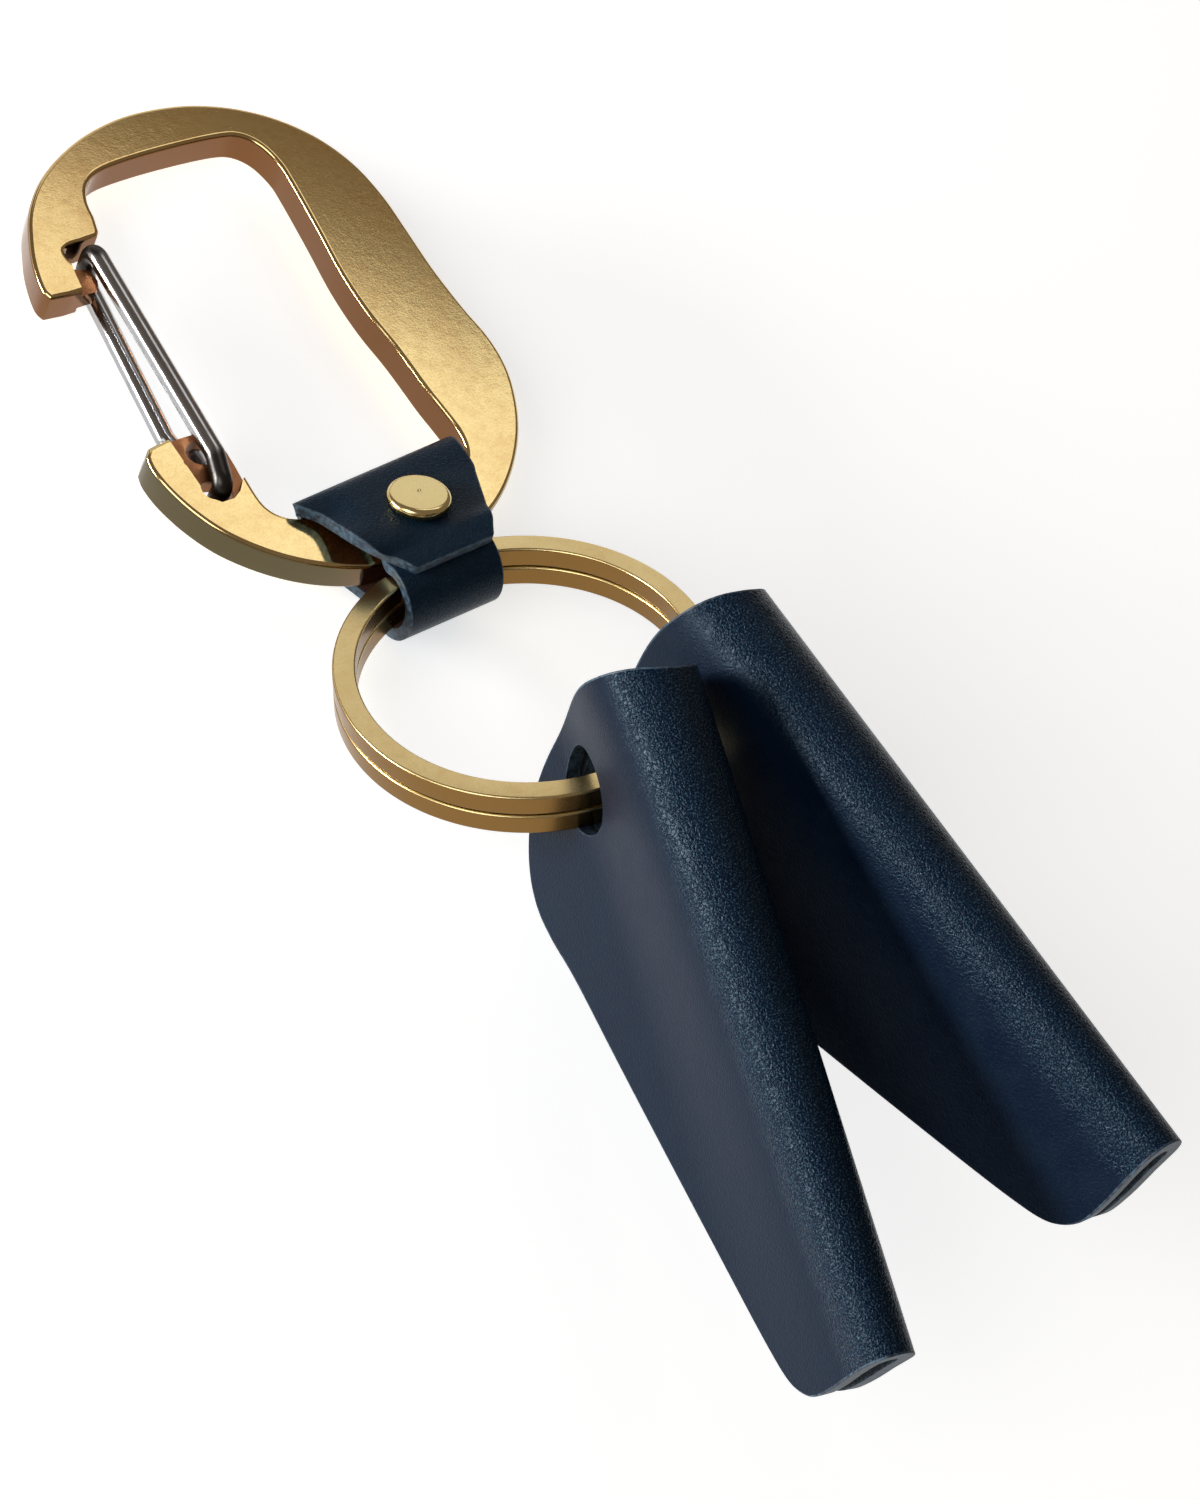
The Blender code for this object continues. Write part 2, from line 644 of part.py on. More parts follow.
def ring_level(degrees):
    """Height of the wire's middle at a turn, with the ramp between the two coils."""
    pitch = RING_WIRE_HEIGHT + RING_TURN_GAP
    start = 360 - RING_RAMP_TURN / 2
    share = min(max((degrees - start) / RING_RAMP_TURN, 0), 1)
    eased = share * share * (3 - 2 * share)
    return pitch / 2 - pitch * eased


def build_ring():
    """Two flat coils of square wire joined by a short ramp."""
    half = RING_WIRE_WIDTH / 2
    tall = RING_WIRE_HEIGHT / 2
    edge = RING_EDGE_ROUND
    outline = ((half - edge, tall), (half, tall - edge), (half, edge - tall),
               (half - edge, -tall), (edge - half, -tall), (-half, edge - tall),
               (-half, tall - edge), (edge - half, tall))
    first = RING_RAMP_TURN * 0.62
    last = 720 - RING_RAMP_TURN * 0.62
    rings = []
    for step in range(RING_STEPS + 1):
        degrees = first + (last - first) * step / RING_STEPS
        angle = math.radians(degrees + RING_JOIN_TURN)
        level = ring_level(degrees)
        rings.append([((RING_MEAN + r) * math.cos(angle), (RING_MEAN + r) * math.sin(angle),
                       level + z) for r, z in outline])
    mesh = loft_mesh("split_ring", rings)
    mesh.transform(ring_matrix())
    ring = add_object("split_ring", mesh, HOLDER)
    ring.data.materials.append(make_material("brass_ring", (0.78, 0.58, 0.26), 1.0, 0.28))
    set_origin(ring, (LOOP_X, LOOP_Y, LOOP_Z))
    return ring


# Key covers


def cover_section(place):
    """Folded sheet across the cover: a round fold and two faces that close together."""
    share = (place / COVER_LENGTH - COVER_START_SHARE) / (COVER_STOP_SHARE - COVER_START_SHARE)
    thick = COVER_SPINE_THICKNESS + (COVER_TIP_THICKNESS - COVER_SPINE_THICKNESS) * share
    half = thick / 2
    edge = COVER_EDGE_THICKNESS / 2
    centre = COVER_LENGTH * COVER_FOLD_SHARE + half
    closed = COVER_LENGTH * COVER_CLOSED_SHARE
    reach = COVER_LENGTH * COVER_REACH_SHARE
    faces = [(reach, edge)]
    for step in range(FACE_STEPS):
        part = step / FACE_STEPS
        eased = part * part * (3 - 2 * part)
        faces.append((closed + (centre - closed) * part, edge + (half - edge) * eased))
    outer = [(across, -depth) for across, depth in faces]
    inner = [(across, COVER_LEATHER - depth) for across, depth in faces]
    bore = half - COVER_LEATHER
    for step in range(ARC_STEPS + 1):
        angle = math.pi * step / ARC_STEPS
        outer.append((centre - half * math.sin(angle), -half * math.cos(angle)))
        inner.append((centre - bore * math.sin(angle), -bore * math.cos(angle)))
    outer += [(across, depth) for across, depth in reversed(faces)]
    inner += [(across, depth - COVER_LEATHER) for across, depth in reversed(faces)]
    return [(place, across, depth) for across, depth in outer + list(reversed(inner))]


def cover_matrix(turns, hang):
    """Matrix from cover space (X along the fold, Y away from it, Z side) to the holder."""
    place, heading, dip, lean = (math.radians(turn) for turn in turns)
    centre, away, side, normal = ring_frame()
    outward = away * math.cos(place) + side * math.sin(place)
    hole = centre + outward * (RING_MEAN + hang[0]) + normal * hang[1]
    along = Vector((math.sin(heading) * math.cos(dip), -math.cos(heading) * math.cos(dip),
                    math.sin(dip)))
    down = Vector((-math.sin(lean), 0, -math.cos(lean)))
    down = (down - along * down.dot(along)).normalized()
    cross = along.cross(down)
    return Matrix.Translation(hole) @ Matrix((along, down, cross)).transposed().to_4x4()


def build_cover(name, turns, hang):
    """Leather sheath for one key, folded along its upper edge, with a ring hole."""
    start = COVER_START_SHARE * COVER_LENGTH
    stop = COVER_STOP_SHARE * COVER_LENGTH
    slices = 14
    rings = [cover_section(start + (stop - start) * step / slices) for step in range(slices + 1)]
    first = [(start - COVER_LENGTH * 0.04, y, z) for _, y, z in rings[0]]
    place = cover_matrix(turns, hang)
    body = loft_mesh(name, [first] + rings)
    body.transform(place)
    cover = add_object(name, body, HOLDER)
    cover.data.materials.append(
        make_material(name + "_leather", (0.030, 0.060, 0.095), 0.0, 0.5))
    outline = [(start, -COVER_LENGTH * 0.30)]
    outline += smooth_open(scaled(COVER_SHARES, COVER_LENGTH), 2)
    outline.append((stop, -COVER_LENGTH * 0.30))
    thick = COVER_SPINE_THICKNESS
    trim = prism_mesh(name + "_trim", outline, -thick, thick)
    trim.transform(place)
    apply_cut(cover, add_cutter(name + "_trim", trim), "INTERSECT")
    profile = ((0, -thick), (COVER_HOLE_DIAMETER / 2, -thick), (COVER_HOLE_DIAMETER / 2, thick),
               (0, thick))
    hole = turned_mesh(name + "_hole", profile)
    hole.transform(place)
    apply_cut(cover, add_cutter(name + "_hole", hole))
    set_origin(cover, place.translation)
    return cover


build_carabiner()
build_gate()
build_strap()
build_rivet()
build_ring()
build_cover("key_cover_front", FRONT_COVER_TURNS, FRONT_COVER_HANG)
build_cover("key_cover_back", BACK_COVER_TURNS, BACK_COVER_HANG)
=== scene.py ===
"""Key holder: brass plate carabiner, wire gate, leather strap, split ring and two key covers.

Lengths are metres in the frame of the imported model.  +Z is up from the table, +Y runs from the
split ring to the top of the carabiner and +X towards its solid spine.  The origin is on the
rivet's axis, level with the lowest face of the holder.
"""

from __future__ import annotations

import logging
import math
from contextlib import contextmanager
from dataclasses import dataclass, field
from enum import Enum
from typing import Callable, Iterator, Sequence

import bmesh
import bpy
from mathutils import Matrix, Vector


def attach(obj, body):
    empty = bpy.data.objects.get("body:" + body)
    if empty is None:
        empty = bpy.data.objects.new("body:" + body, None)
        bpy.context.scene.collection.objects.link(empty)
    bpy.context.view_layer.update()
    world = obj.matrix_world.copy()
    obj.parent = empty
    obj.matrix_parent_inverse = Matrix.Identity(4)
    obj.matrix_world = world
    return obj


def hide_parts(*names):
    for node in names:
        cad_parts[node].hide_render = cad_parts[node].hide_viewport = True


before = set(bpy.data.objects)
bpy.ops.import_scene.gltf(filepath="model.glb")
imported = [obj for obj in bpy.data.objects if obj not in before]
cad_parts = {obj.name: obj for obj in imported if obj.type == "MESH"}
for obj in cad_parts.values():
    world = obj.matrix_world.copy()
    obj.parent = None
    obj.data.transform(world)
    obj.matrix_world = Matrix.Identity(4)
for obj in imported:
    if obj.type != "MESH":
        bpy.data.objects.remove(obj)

LOG = logging.getLogger("key_holder")

Pair = tuple[float, float]
Point = tuple[float, float, float]
Colour = tuple[float, float, float]

MM = 0.001
CENTIMETRE = 0.01
MERGE_DISTANCE = 0.000002
SENSOR_WIDTH = 36.0


def smooth_open(points: Sequence[Sequence[float]], steps: int) -> list[tuple[float, ...]]:
    """Runs a smooth curve through points of any dimension.

    Args:
        points: The points that the curve passes through.
        steps: How many samples each span gets.

    Returns:
        The samples, the last point included.
    """
    count = len(points)
    result: list[tuple[float, ...]] = []
    for index in range(count - 1):
        before = points[max(index - 1, 0)]
        start = points[index]
        stop = points[index + 1]
        after = points[min(index + 2, count - 1)]
        for step in range(steps):
            t = step / steps
            result.append(tuple(
                0.5 * (2 * b + (c - a) * t + (2 * a - 5 * b + 4 * c - d) * t * t
                       + (3 * b - a - 3 * c + d) * t * t * t)
                for a, b, c, d in zip(before, start, stop, after)))
    result.append(tuple(points[-1]))
    return result


def scaled(pairs: Sequence[Pair], length: float) -> list[Pair]:
    """Turns pairs of shares into pairs of lengths."""
    return [(a * length, b * length) for a, b in pairs]


def eased(value: float) -> float:
    """A soft step from 0 to 1 as the value goes from 0 to 1."""
    share = min(max(value, 0.0), 1.0)
    return share * share * (3 - 2 * share)


def frame_matrix(origin: Vector, axes: Sequence[Vector]) -> Matrix:
    """The matrix of a frame, from its origin and the directions of its X, Y and Z."""
    return Matrix.Translation(origin) @ Matrix(axes).transposed().to_4x4()


class Polyline:
    """A path of straight pieces that is read by its length."""

    def __init__(self, points: Sequence[Sequence[float]]) -> None:
        """Measures the path.

        Args:
            points: The corners of the path, in order.
        """
        self.points = [Vector(point) for point in points]
        self.marks = [0.0]
        for first, second in zip(self.points[:-1], self.points[1:]):
            self.marks.append(self.marks[-1] + (second - first).length)

    @property
    def length(self) -> float:
        """The whole length of the path."""
        return self.marks[-1]

    def find(self, distance: float) -> tuple[int, float]:
        """Finds the straight piece that holds a length along the path.

        Args:
            distance: Length along the path from its start, kept to the path's own length.

        Returns:
            The piece's place in the path, and the share of it that lies before the length.
        """
        distance = min(max(distance, 0.0), self.length)
        index = 0
        while index < len(self.marks) - 2 and self.marks[index + 1] < distance:
            index += 1
        span = self.marks[index + 1] - self.marks[index]
        return index, (distance - self.marks[index]) / span if span else 0.0

    def at(self, distance: float) -> Vector:
        """The point at a length along the path."""
        index, share = self.find(distance)
        return self.points[index].lerp(self.points[index + 1], share)

    def between(self, start: float, stop: float, share: float) -> Vector:
        """Reads the path at a share of the way between two lengths."""
        return self.at(start + (stop - start) * share)


class Bench:
    """Blender's modelling tools, taken in the order that a hand would take them."""

    FLATNESS = 100

    @staticmethod
    def release() -> None:
        """Deselects everything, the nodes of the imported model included."""
        bpy.ops.object.select_all(action="DESELECT")

    @staticmethod
    def hold(piece: bpy.types.Object) -> None:
        """Makes one piece the only selected and active object.

        Args:
            piece: The piece.
        """
        Bench.release()
        piece.select_set(True)
        bpy.context.view_layer.objects.active = piece

    @staticmethod
    def take(name: str) -> bpy.types.Object:
        """Names the object that the last operator added.

        Args:
            name: The name for the object and its data.

        Returns:
            The named object.
        """
        piece = bpy.context.view_layer.objects.active
        piece.name = name
        piece.data.name = name
        return piece

    @staticmethod
    def add(name: str, data: bpy.types.ID) -> bpy.types.Object:
        """Puts an object with ready data into the scene.

        Args:
            name: The object's name.
            data: Its curve, light or camera.

        Returns:
            The object.
        """
        made = bpy.data.objects.new(name, data)
        bpy.context.scene.collection.objects.link(made)
        return made

    @staticmethod
    @contextmanager
    def editing(piece: bpy.types.Object, select: str = "VERT") -> Iterator[None]:
        """Opens a mesh in edit mode with nothing selected.

        Args:
            piece: The mesh object.
            select: VERT, EDGE or FACE.

        Yields:
            Nothing; the mesh is in edit mode meanwhile.
        """
        Bench.hold(piece)
        bpy.ops.object.mode_set(mode="EDIT")
        bpy.ops.mesh.select_mode(type=select)
        Bench.nothing()
        try:
            yield
        finally:
            bpy.ops.object.mode_set(mode="OBJECT")

    @staticmethod
    def nothing() -> None:
        """Selects no part of the mesh in edit mode."""
        bpy.ops.mesh.select_all(action="DESELECT")

    @staticmethod
    def everything() -> None:
        """Selects the whole mesh in edit mode."""
        bpy.ops.mesh.select_all(action="SELECT")

    @staticmethod
    def outwards() -> None:
        """Turns all the faces of the mesh in edit mode outwards."""
        Bench.everything()
        bpy.ops.mesh.normals_make_consistent(inside=False)

    @staticmethod
    def pick(piece: bpy.types.Object, kind: str, test: Callable[..., bool]) -> None:
        """Selects parts of a mesh in edit mode.

        Args:
            piece: The mesh object in edit mode.
            kind: verts, edges or faces.
            test: Says whether a part is selected.
        """
        work = bmesh.from_edit_mesh(piece.data)
        chosen = [item for item in getattr(work, kind) if test(item)]
        for item in chosen:
            item.select_set(True)
        bmesh.update_edit_mesh(piece.data)

    @staticmethod
    def shape(piece: bpy.types.Object, rule: Callable[[Vector], Vector],
              selected: bool = False) -> None:
        """Moves the points of a mesh in edit mode by a rule.

        Args:
            piece: The mesh object in edit mode.
            rule: Gives a point's new place from its old one.
            selected: Whether only selected points move.
        """
        work = bmesh.from_edit_mesh(piece.data)
        for vert in work.verts:
            if vert.select or not selected:
                vert.co = rule(vert.co.copy())
        bmesh.update_edit_mesh(piece.data)

    @staticmethod
    def modify(piece: bpy.types.Object, kind: str, **settings: object) -> None:
        """Adds a modifier and applies it.

        Args:
            piece: The object.
            kind: Blender's name for the modifier's type.
            **settings: The modifier's settings.
        """
        Bench.hold(piece)
        modifier = piece.modifiers.new(kind.lower(), kind)
        for key, value in settings.items():
            setattr(modifier, key, value)
        bpy.ops.object.modifier_apply(modifier=modifier.name)

    @staticmethod
    def cut(piece: bpy.types.Object, cutter: bpy.types.Object) -> None:
        """Takes a cutter's shape out of a piece and removes the cutter.

        Args:
            piece: The piece that is cut.
            cutter: The cutter, whose material the cut faces take.
        """
        Bench.modify(piece, "BOOLEAN", operation="DIFFERENCE", solver="EXACT", object=cutter,
                     material_mode="TRANSFER")
        mesh = cutter.data
        bpy.data.objects.remove(cutter, do_unlink=True)
        bpy.data.meshes.remove(mesh)

    @staticmethod
    def prism(name: str, outline: Sequence[Pair], low: float, high: float) -> bpy.types.Object:
        """Makes an upright block with a drawn outline.

        Args:
            name: The object's name.
            outline: The closed outline, seen from above.
            low: Height of the lower face.
            high: Height of the upper face.

        Returns:
            The mesh object.
        """
        Bench.release()
        bpy.ops.mesh.primitive_circle_add(vertices=len(outline), radius=1, fill_type="NGON")
        piece = Bench.take(name)
        with Bench.editing(piece):
            work = bmesh.from_edit_mesh(piece.data)
            work.verts.ensure_lookup_table()
            for vert, (x, y) in zip(work.verts, outline):
                vert.co = (x, y, low)
            bmesh.update_edit_mesh(piece.data)
            Bench.everything()
            bpy.ops.mesh.extrude_region_move(
                TRANSFORM_OT_translate={"value": (0, 0, high - low)})
            Bench.outwards()
        return piece

    @staticmethod
    def turned(name: str, profile: Sequence[Pair], steps: int) -> bpy.types.Object:
        """Spins a profile round the Z axis.

        Args:
            name: The object's name.
            profile: Radius and height pairs, which start and end on the axis or on one point.
            steps: How many faces go round.

        Returns:
            The mesh object.
        """
        Bench.release()
        bpy.ops.mesh.primitive_plane_add(size=MM)
        piece = Bench.take(name)
        with Bench.editing(piece):
            Bench.everything()
            bpy.ops.mesh.merge(type="CENTER")
            bpy.ops.transform.translate(value=(profile[0][0], 0, profile[0][1]))
            for first, second in zip(profile[:-1], profile[1:]):
                move = (second[0] - first[0], 0, second[1] - first[1])
                bpy.ops.mesh.extrude_region_move(TRANSFORM_OT_translate={"value": move})
            Bench.everything()
            bpy.ops.mesh.spin(steps=steps, angle=math.tau, center=(0, 0, 0), axis=(0, 0, -1))
            Bench.everything()
            bpy.ops.mesh.remove_doubles(threshold=MERGE_DISTANCE)
            Bench.outwards()
        return piece

    @staticmethod
    def wire(name: str, path: Sequence[Sequence[float]], radius: float,
             resolution: int) -> bpy.types.Object:
        """Makes a round bar along a path, with closed ends.

        Args:
            name: The object's name.
            path: Points of the bar's middle line.
            radius: The bar's radius.
            resolution: Bevel resolution of the curve.

        Returns:
            The mesh object.
        """
        Bench.release()
        curve = bpy.data.curves.new(name, "CURVE")
        curve.dimensions = "3D"
        curve.bevel_depth = radius
        curve.bevel_resolution = resolution
        curve.use_fill_caps = True
        spline = curve.splines.new("POLY")
        spline.points.add(len(path) - 1)
        for point, place in zip(spline.points, path):
            point.co = (*place, 1)
        Bench.hold(Bench.add(name, curve))
        bpy.ops.object.convert(target="MESH")
        piece = Bench.take(name)
        with Bench.editing(piece):
            Bench.everything()
            bpy.ops.mesh.remove_doubles(threshold=MERGE_DISTANCE)
            Bench.outwards()
        return piece

    @staticmethod
    def smooth(piece: bpy.types.Object, degrees: float) -> None:
        """Shades a piece smooth, with sharp edges past an angle, and keeps its flats flat.

        Args:
            piece: The piece.
            degrees: The angle between two faces from which their edge is sharp.
        """
        Bench.hold(piece)
        bpy.ops.object.shade_smooth_by_angle(angle=math.radians(degrees))
        Bench.modify(piece, "WEIGHTED_NORMAL", mode="FACE_AREA", weight=Bench.FLATNESS,
                     keep_sharp=True)

    @staticmethod
    def dress(piece: bpy.types.Object, body: str, nodes: Sequence[str], slot: str) -> None:
        """Hangs a finished piece on its body.

        Args:
            piece: The finished piece.
            body: The body that it rides on.
            nodes: The nodes that it stands for.
            slot: The record's material slot; not used.
        """
        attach(piece, body)
        if nodes:
            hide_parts(*nodes)
        LOG.info("%s rides on %s: %d faces", piece.name, body, len(piece.data.polygons))


class Value:
    """A number socket of a shader that can be used in a Python expression."""

    def __init__(self, shader: "Shader", socket: bpy.types.NodeSocket) -> None:
        """Wraps a socket.

        Args:
            shader: The shader that the socket belongs to.
            socket: The output socket.
        """
        self.shader = shader
        self.socket = socket

    def _join(self, operation: str, first: "Number", second: "Number" = 0.0) -> "Value":
        """Adds a Math node for one operation on two numbers."""
        return self.shader.node("ShaderNodeMath", {"operation": operation}, {0: first, 1: second})

    def __add__(self, other: "Number") -> "Value":
        """This value plus a number."""
        return self._join("ADD", self, other)

    def __radd__(self, other: "Number") -> "Value":
        """A number plus this value."""
        return self._join("ADD", other, self)

    def __sub__(self, other: "Number") -> "Value":
        """This value less a number."""
        return self._join("SUBTRACT", self, other)

    def __rsub__(self, other: "Number") -> "Value":
        """A number less this value."""
        return self._join("SUBTRACT", other, self)

    def __mul__(self, other: "Number") -> "Value":
        """This value times a number."""
        return self._join("MULTIPLY", self, other)

    def __rmul__(self, other: "Number") -> "Value":
        """A number times this value."""
        return self._join("MULTIPLY", other, self)

    def __abs__(self) -> "Value":
        """This value without its sign."""
        return self._join("ABSOLUTE", self)

    def step(self, low: float, high: float, start: float = 0.0, stop: float = 1.0) -> "Value":
        """Maps a range of this value softly onto another.

        Args:
            low: Where the step starts.
            high: Where the step ends.
            start: Result at and below low.
            stop: Result at and above high.

        Returns:
            The mapped value.
        """
        return self.shader.node("ShaderNodeMapRange", {"interpolation_type": "SMOOTHSTEP"},
                                {"Value": self, "From Min": low, "From Max": high,
                                 "To Min": start, "To Max": stop})


Number = float | Value
Socket = float | Value | Sequence[float]


class Shader:
    """A material's node tree, built by expressions and one node method."""

    def __init__(self, name: str) -> None:
        """Makes a material with a bare principled shader.

        Args:
            name: The material's name.
        """
        self.material = bpy.data.materials.new(name)
        self.material.use_nodes = True
        self.tree = self.material.node_tree
        self.surface = self.tree.nodes["Principled BSDF"]

    def node(self, kind: str, settings: dict | None = None, inputs: dict | None = None,
             output: int | str = 0) -> Value:
        """Adds a node.

        Args:
            kind: The node's type.
            settings: Its settings, which are set first.
            inputs: Values or links of its sockets, by name or place.
            output: The output that is read.

        Returns:
            The output, wrapped.
        """
        made = self.tree.nodes.new(kind)
        for key, value in (settings or {}).items():
            setattr(made, key, value)
        for key, value in (inputs or {}).items():
            self.feed(made.inputs[key], value)
        return Value(self, made.outputs[output])

    def feed(self, socket: bpy.types.NodeSocket, value: Socket) -> None:
        """Sets or links an input socket.

        Args:
            socket: The input socket.
            value: A number, a colour, a vector or a wrapped output.
        """
        if isinstance(value, Value):
            self.tree.links.new(value.socket, socket)
        elif isinstance(value, (int, float)):
            socket.default_value = value
        else:
            parts = tuple(value)
            if len(socket.default_value) == 4 and len(parts) == 3:
                parts = (*parts, 1.0)
            socket.default_value = parts

    def set(self, **inputs: Socket) -> None:
        """Sets the principled shader's inputs; an underscore stands for a space."""
        for key, value in inputs.items():
            self.feed(self.surface.inputs[key.replace("_", " ")], value)

    def place(self) -> Value:
        """Object coordinates in centimetres."""
        where = self.node("ShaderNodeTexCoord", output="Object")
        return self.stretch(where, 1 / CENTIMETRE)

    def hide_map(self) -> Value:
        """The flat map of a leather piece, in centimetres."""
        return self.node("ShaderNodeUVMap", {"uv_map": "hide"})

    def stretch(self, vector: Value, factor: float | Point) -> Value:
        """Scales a vector.

        Args:
            vector: The vector.
            factor: A number, or a number for each axis.

        Returns:
            The scaled vector.
        """
        scale = (factor,) * 3 if isinstance(factor, (int, float)) else factor
        return self.node("ShaderNodeVectorMath", {"operation": "MULTIPLY"},
                         {0: vector, 1: scale})

    def axis(self, vector: Value, name: str) -> Value:
        """Reads X, Y or Z of a vector."""
        return self.node("ShaderNodeSeparateXYZ", None, {0: vector}, name)

    def clouds(self, where: Value, scale: float, detail: float = 3.0,
               roughness: float = 0.55) -> Value:
        """Soft noise.

        Args:
            where: Where the noise is read.
            scale: How many clouds there are in a centimetre.
            detail: How many finer layers lie on them.
            roughness: How strong each finer layer is.

        Returns:
            The noise, from 0 to 1.
        """
        return self.node("ShaderNodeTexNoise", None,
                         {"Vector": where, "Scale": scale, "Detail": detail,
                          "Roughness": roughness})

    def cells(self, where: Value, scale: float, feature: str = "F1") -> Value:
        """Distance to the middle, or the edge, of a field of cells."""
        return self.node("ShaderNodeTexVoronoi", {"feature": feature},
                         {"Vector": where, "Scale": scale}, "Distance")

    def mix(self, share: Number, first: Socket, second: Socket) -> Value:
        """Mixes two colours."""
        return self.node("ShaderNodeMix", {"data_type": "RGBA"},
                         {0: share, 6: first, 7: second}, 2)

    def relief(self, height: Value, depth: float, normal: Value | None = None) -> Value:
        """Turns a height into a normal.

        Args:
            height: Height from 0 to 1.
            depth: What a height of 1 means, in metres.
            normal: An earlier relief that this one lies on.

        Returns:
            The normal.
        """
        inputs = {"Height": height, "Distance": depth, "Strength": 1.0}
        if normal is not None:
            inputs["Normal"] = normal
        return self.node("ShaderNodeBump", None, inputs, "Normal")


class BrassGrade(Enum):
    """The brass surfaces of the holder, with their wear and their painted shade."""

    PLATE = "plate"
    RECESS = "recess"
    RING = "ring"
    RIVET = "rivet"


@dataclass(frozen=True)
class BrassFinish:
    """Raw brass, tumbled and handled, with painted shade on its walls and, on the plate, towards
    its top.

    Attributes:
        grade: Which surface it is for.
        light: Colour of clean brass.
        deep: Colour where the brass has darkened with tone, and of the painted shade at the top
            of the plate.
        wall: Colour of the upright walls, darker than the faces as painted shade.
        hook_wall_shade: Colour of the walls round the hook, where the painted shade is darkest.
        gloss: Roughness of clean brass.
        haze: How much rougher brass is where tone and the painted top shade darken it.
        mottle: How strongly the toning shows.
        relief: Height of the grain left by tumbling, in metres.
        top_shade: How much painted shade darkens the top of the plate.
    """

    grade: BrassGrade
    light: Colour
    deep: Colour
    wall: Colour
    hook_wall_shade: Colour
    gloss: float
    haze: float
    mottle: float
    relief: float
    top_shade: float = 0.0

    # Painted shade lies towards the top of the plate, on the walls round the hook and on every
    # upright wall.
    TOP_SHADE_Y = (2.2, 4.0)
    HOOK_Y = (1.3, 2.0)
    HOOK_X = (-0.9, -0.3)
    WALL_TILT = (0.30, 0.60)
    SCRATCH_STRETCH = (5.0, 42.0, 9.0)

    def build(self) -> bpy.types.Material:
        """Makes the material.

        Returns:
            The finished material.
        """
        shader = Shader(f"brass_{self.grade.value}")
        where = shader.place()
        broad = shader.clouds(where, 1.6, 4.0).step(0.34, 0.70)
        spots = shader.clouds(where, 9.0, 5.0, 0.62).step(0.40, 0.72)
        grain = shader.clouds(where, 46.0, 3.0)
        # Painted shade: the plate is darkened towards its top.
        top_shade = shader.axis(where, "Y").step(*self.TOP_SHADE_Y) * self.top_shade
        tone_and_shade = (broad * 0.55 + spots * 0.45) * self.mottle + top_shade
        normal = shader.node("ShaderNodeTexCoord", output="Normal")
        upright = 1.0 - abs(shader.axis(normal, "Z"))
        # Painted shade: upright walls take darker colours, darkest round the hook.
        wall = upright.step(*self.WALL_TILT)
        hook = (shader.axis(where, "Y").step(*self.HOOK_Y, 1.0, 0.0)
                * shader.axis(where, "X").step(*self.HOOK_X, 1.0, 0.0))
        side = shader.mix(hook, self.wall, self.hook_wall_shade)
        face = shader.mix(tone_and_shade, self.light, self.deep)
        face = shader.mix(grain.step(0.35, 0.70, 0.0, 0.30), face, self.deep)
        colour = shader.mix(wall, face, side)
        scratch = shader.clouds(shader.stretch(where, self.SCRATCH_STRETCH), 2.0, 2.0)
        scratch = scratch.step(0.60, 0.72)
        pits = shader.cells(where, 17.0).step(0.0, 0.10, 1.0, 0.0) * spots
        rough = self.gloss + tone_and_shade * self.haze + grain * 0.03
        height = grain * 0.5 + spots * 0.3 - pits * 1.2 - scratch * 0.08
        shader.set(Base_Color=colour, Metallic=1.0, Roughness=rough,
                   Normal=shader.relief(height, self.relief))
        return shader.material


@dataclass(frozen=True)
class SteelFinish:
    """Bright spring steel with drawing marks, and painted shade on its ends where they lie in the
    plate's recesses.

    Attributes:
        light: Colour of the wire.
        dark: Colour of the drawing marks and of the painted shade on the wire's ends.
        gloss: Roughness of the wire.
        bright_low: Y where the painted shade on the hook end of the wire stops.
        bright_high: Y where the painted shade on the nose end starts.
    """

    light: Colour = (0.42, 0.42, 0.43)
    dark: Colour = (0.055, 0.052, 0.050)
    gloss: float = 0.12
    bright_low: float = 0.0115
    bright_high: float = 0.0325

    LOW_FADE = (-0.09, 0.09)
    HIGH_FADE = (-0.05, 0.08)
    DRAWN_STRETCH = (36.0, 3.0, 36.0)
    MARK_DEPTH = 0.000004

    def build(self) -> bpy.types.Material:
        """Makes the material.

        Returns:
            The finished material.
        """
        shader = Shader("steel_wire")
        where = shader.place()
        along = shader.axis(where, "Y")
        low = along.step(*(self.bright_low / CENTIMETRE + fade for fade in self.LOW_FADE),
                         1.0, 0.0)
        high = along.step(*(self.bright_high / CENTIMETRE + fade for fade in self.HIGH_FADE))
        marks = shader.clouds(shader.stretch(where, self.DRAWN_STRETCH), 1.6, 3.0)
        # Painted shade: the ends that lie in the recesses are painted darker, and made rougher.
        shaded_ends = (low + high).step(0.0, 1.0)
        colour = shader.mix(shaded_ends, self.light, self.dark)
        colour = shader.mix(marks.step(0.45, 0.75, 0.0, 0.35), colour, self.dark)
        shader.set(Base_Color=colour, Metallic=1.0,
                   Roughness=self.gloss + marks * 0.10 + shaded_ends * 0.16,
                   Normal=shader.relief(marks, self.MARK_DEPTH))
        return shader.material


class LeatherSide(Enum):
    """The three surfaces of a cut piece of leather."""

    GRAIN = "grain"
    FLESH = "flesh"
    CUT = "cut"


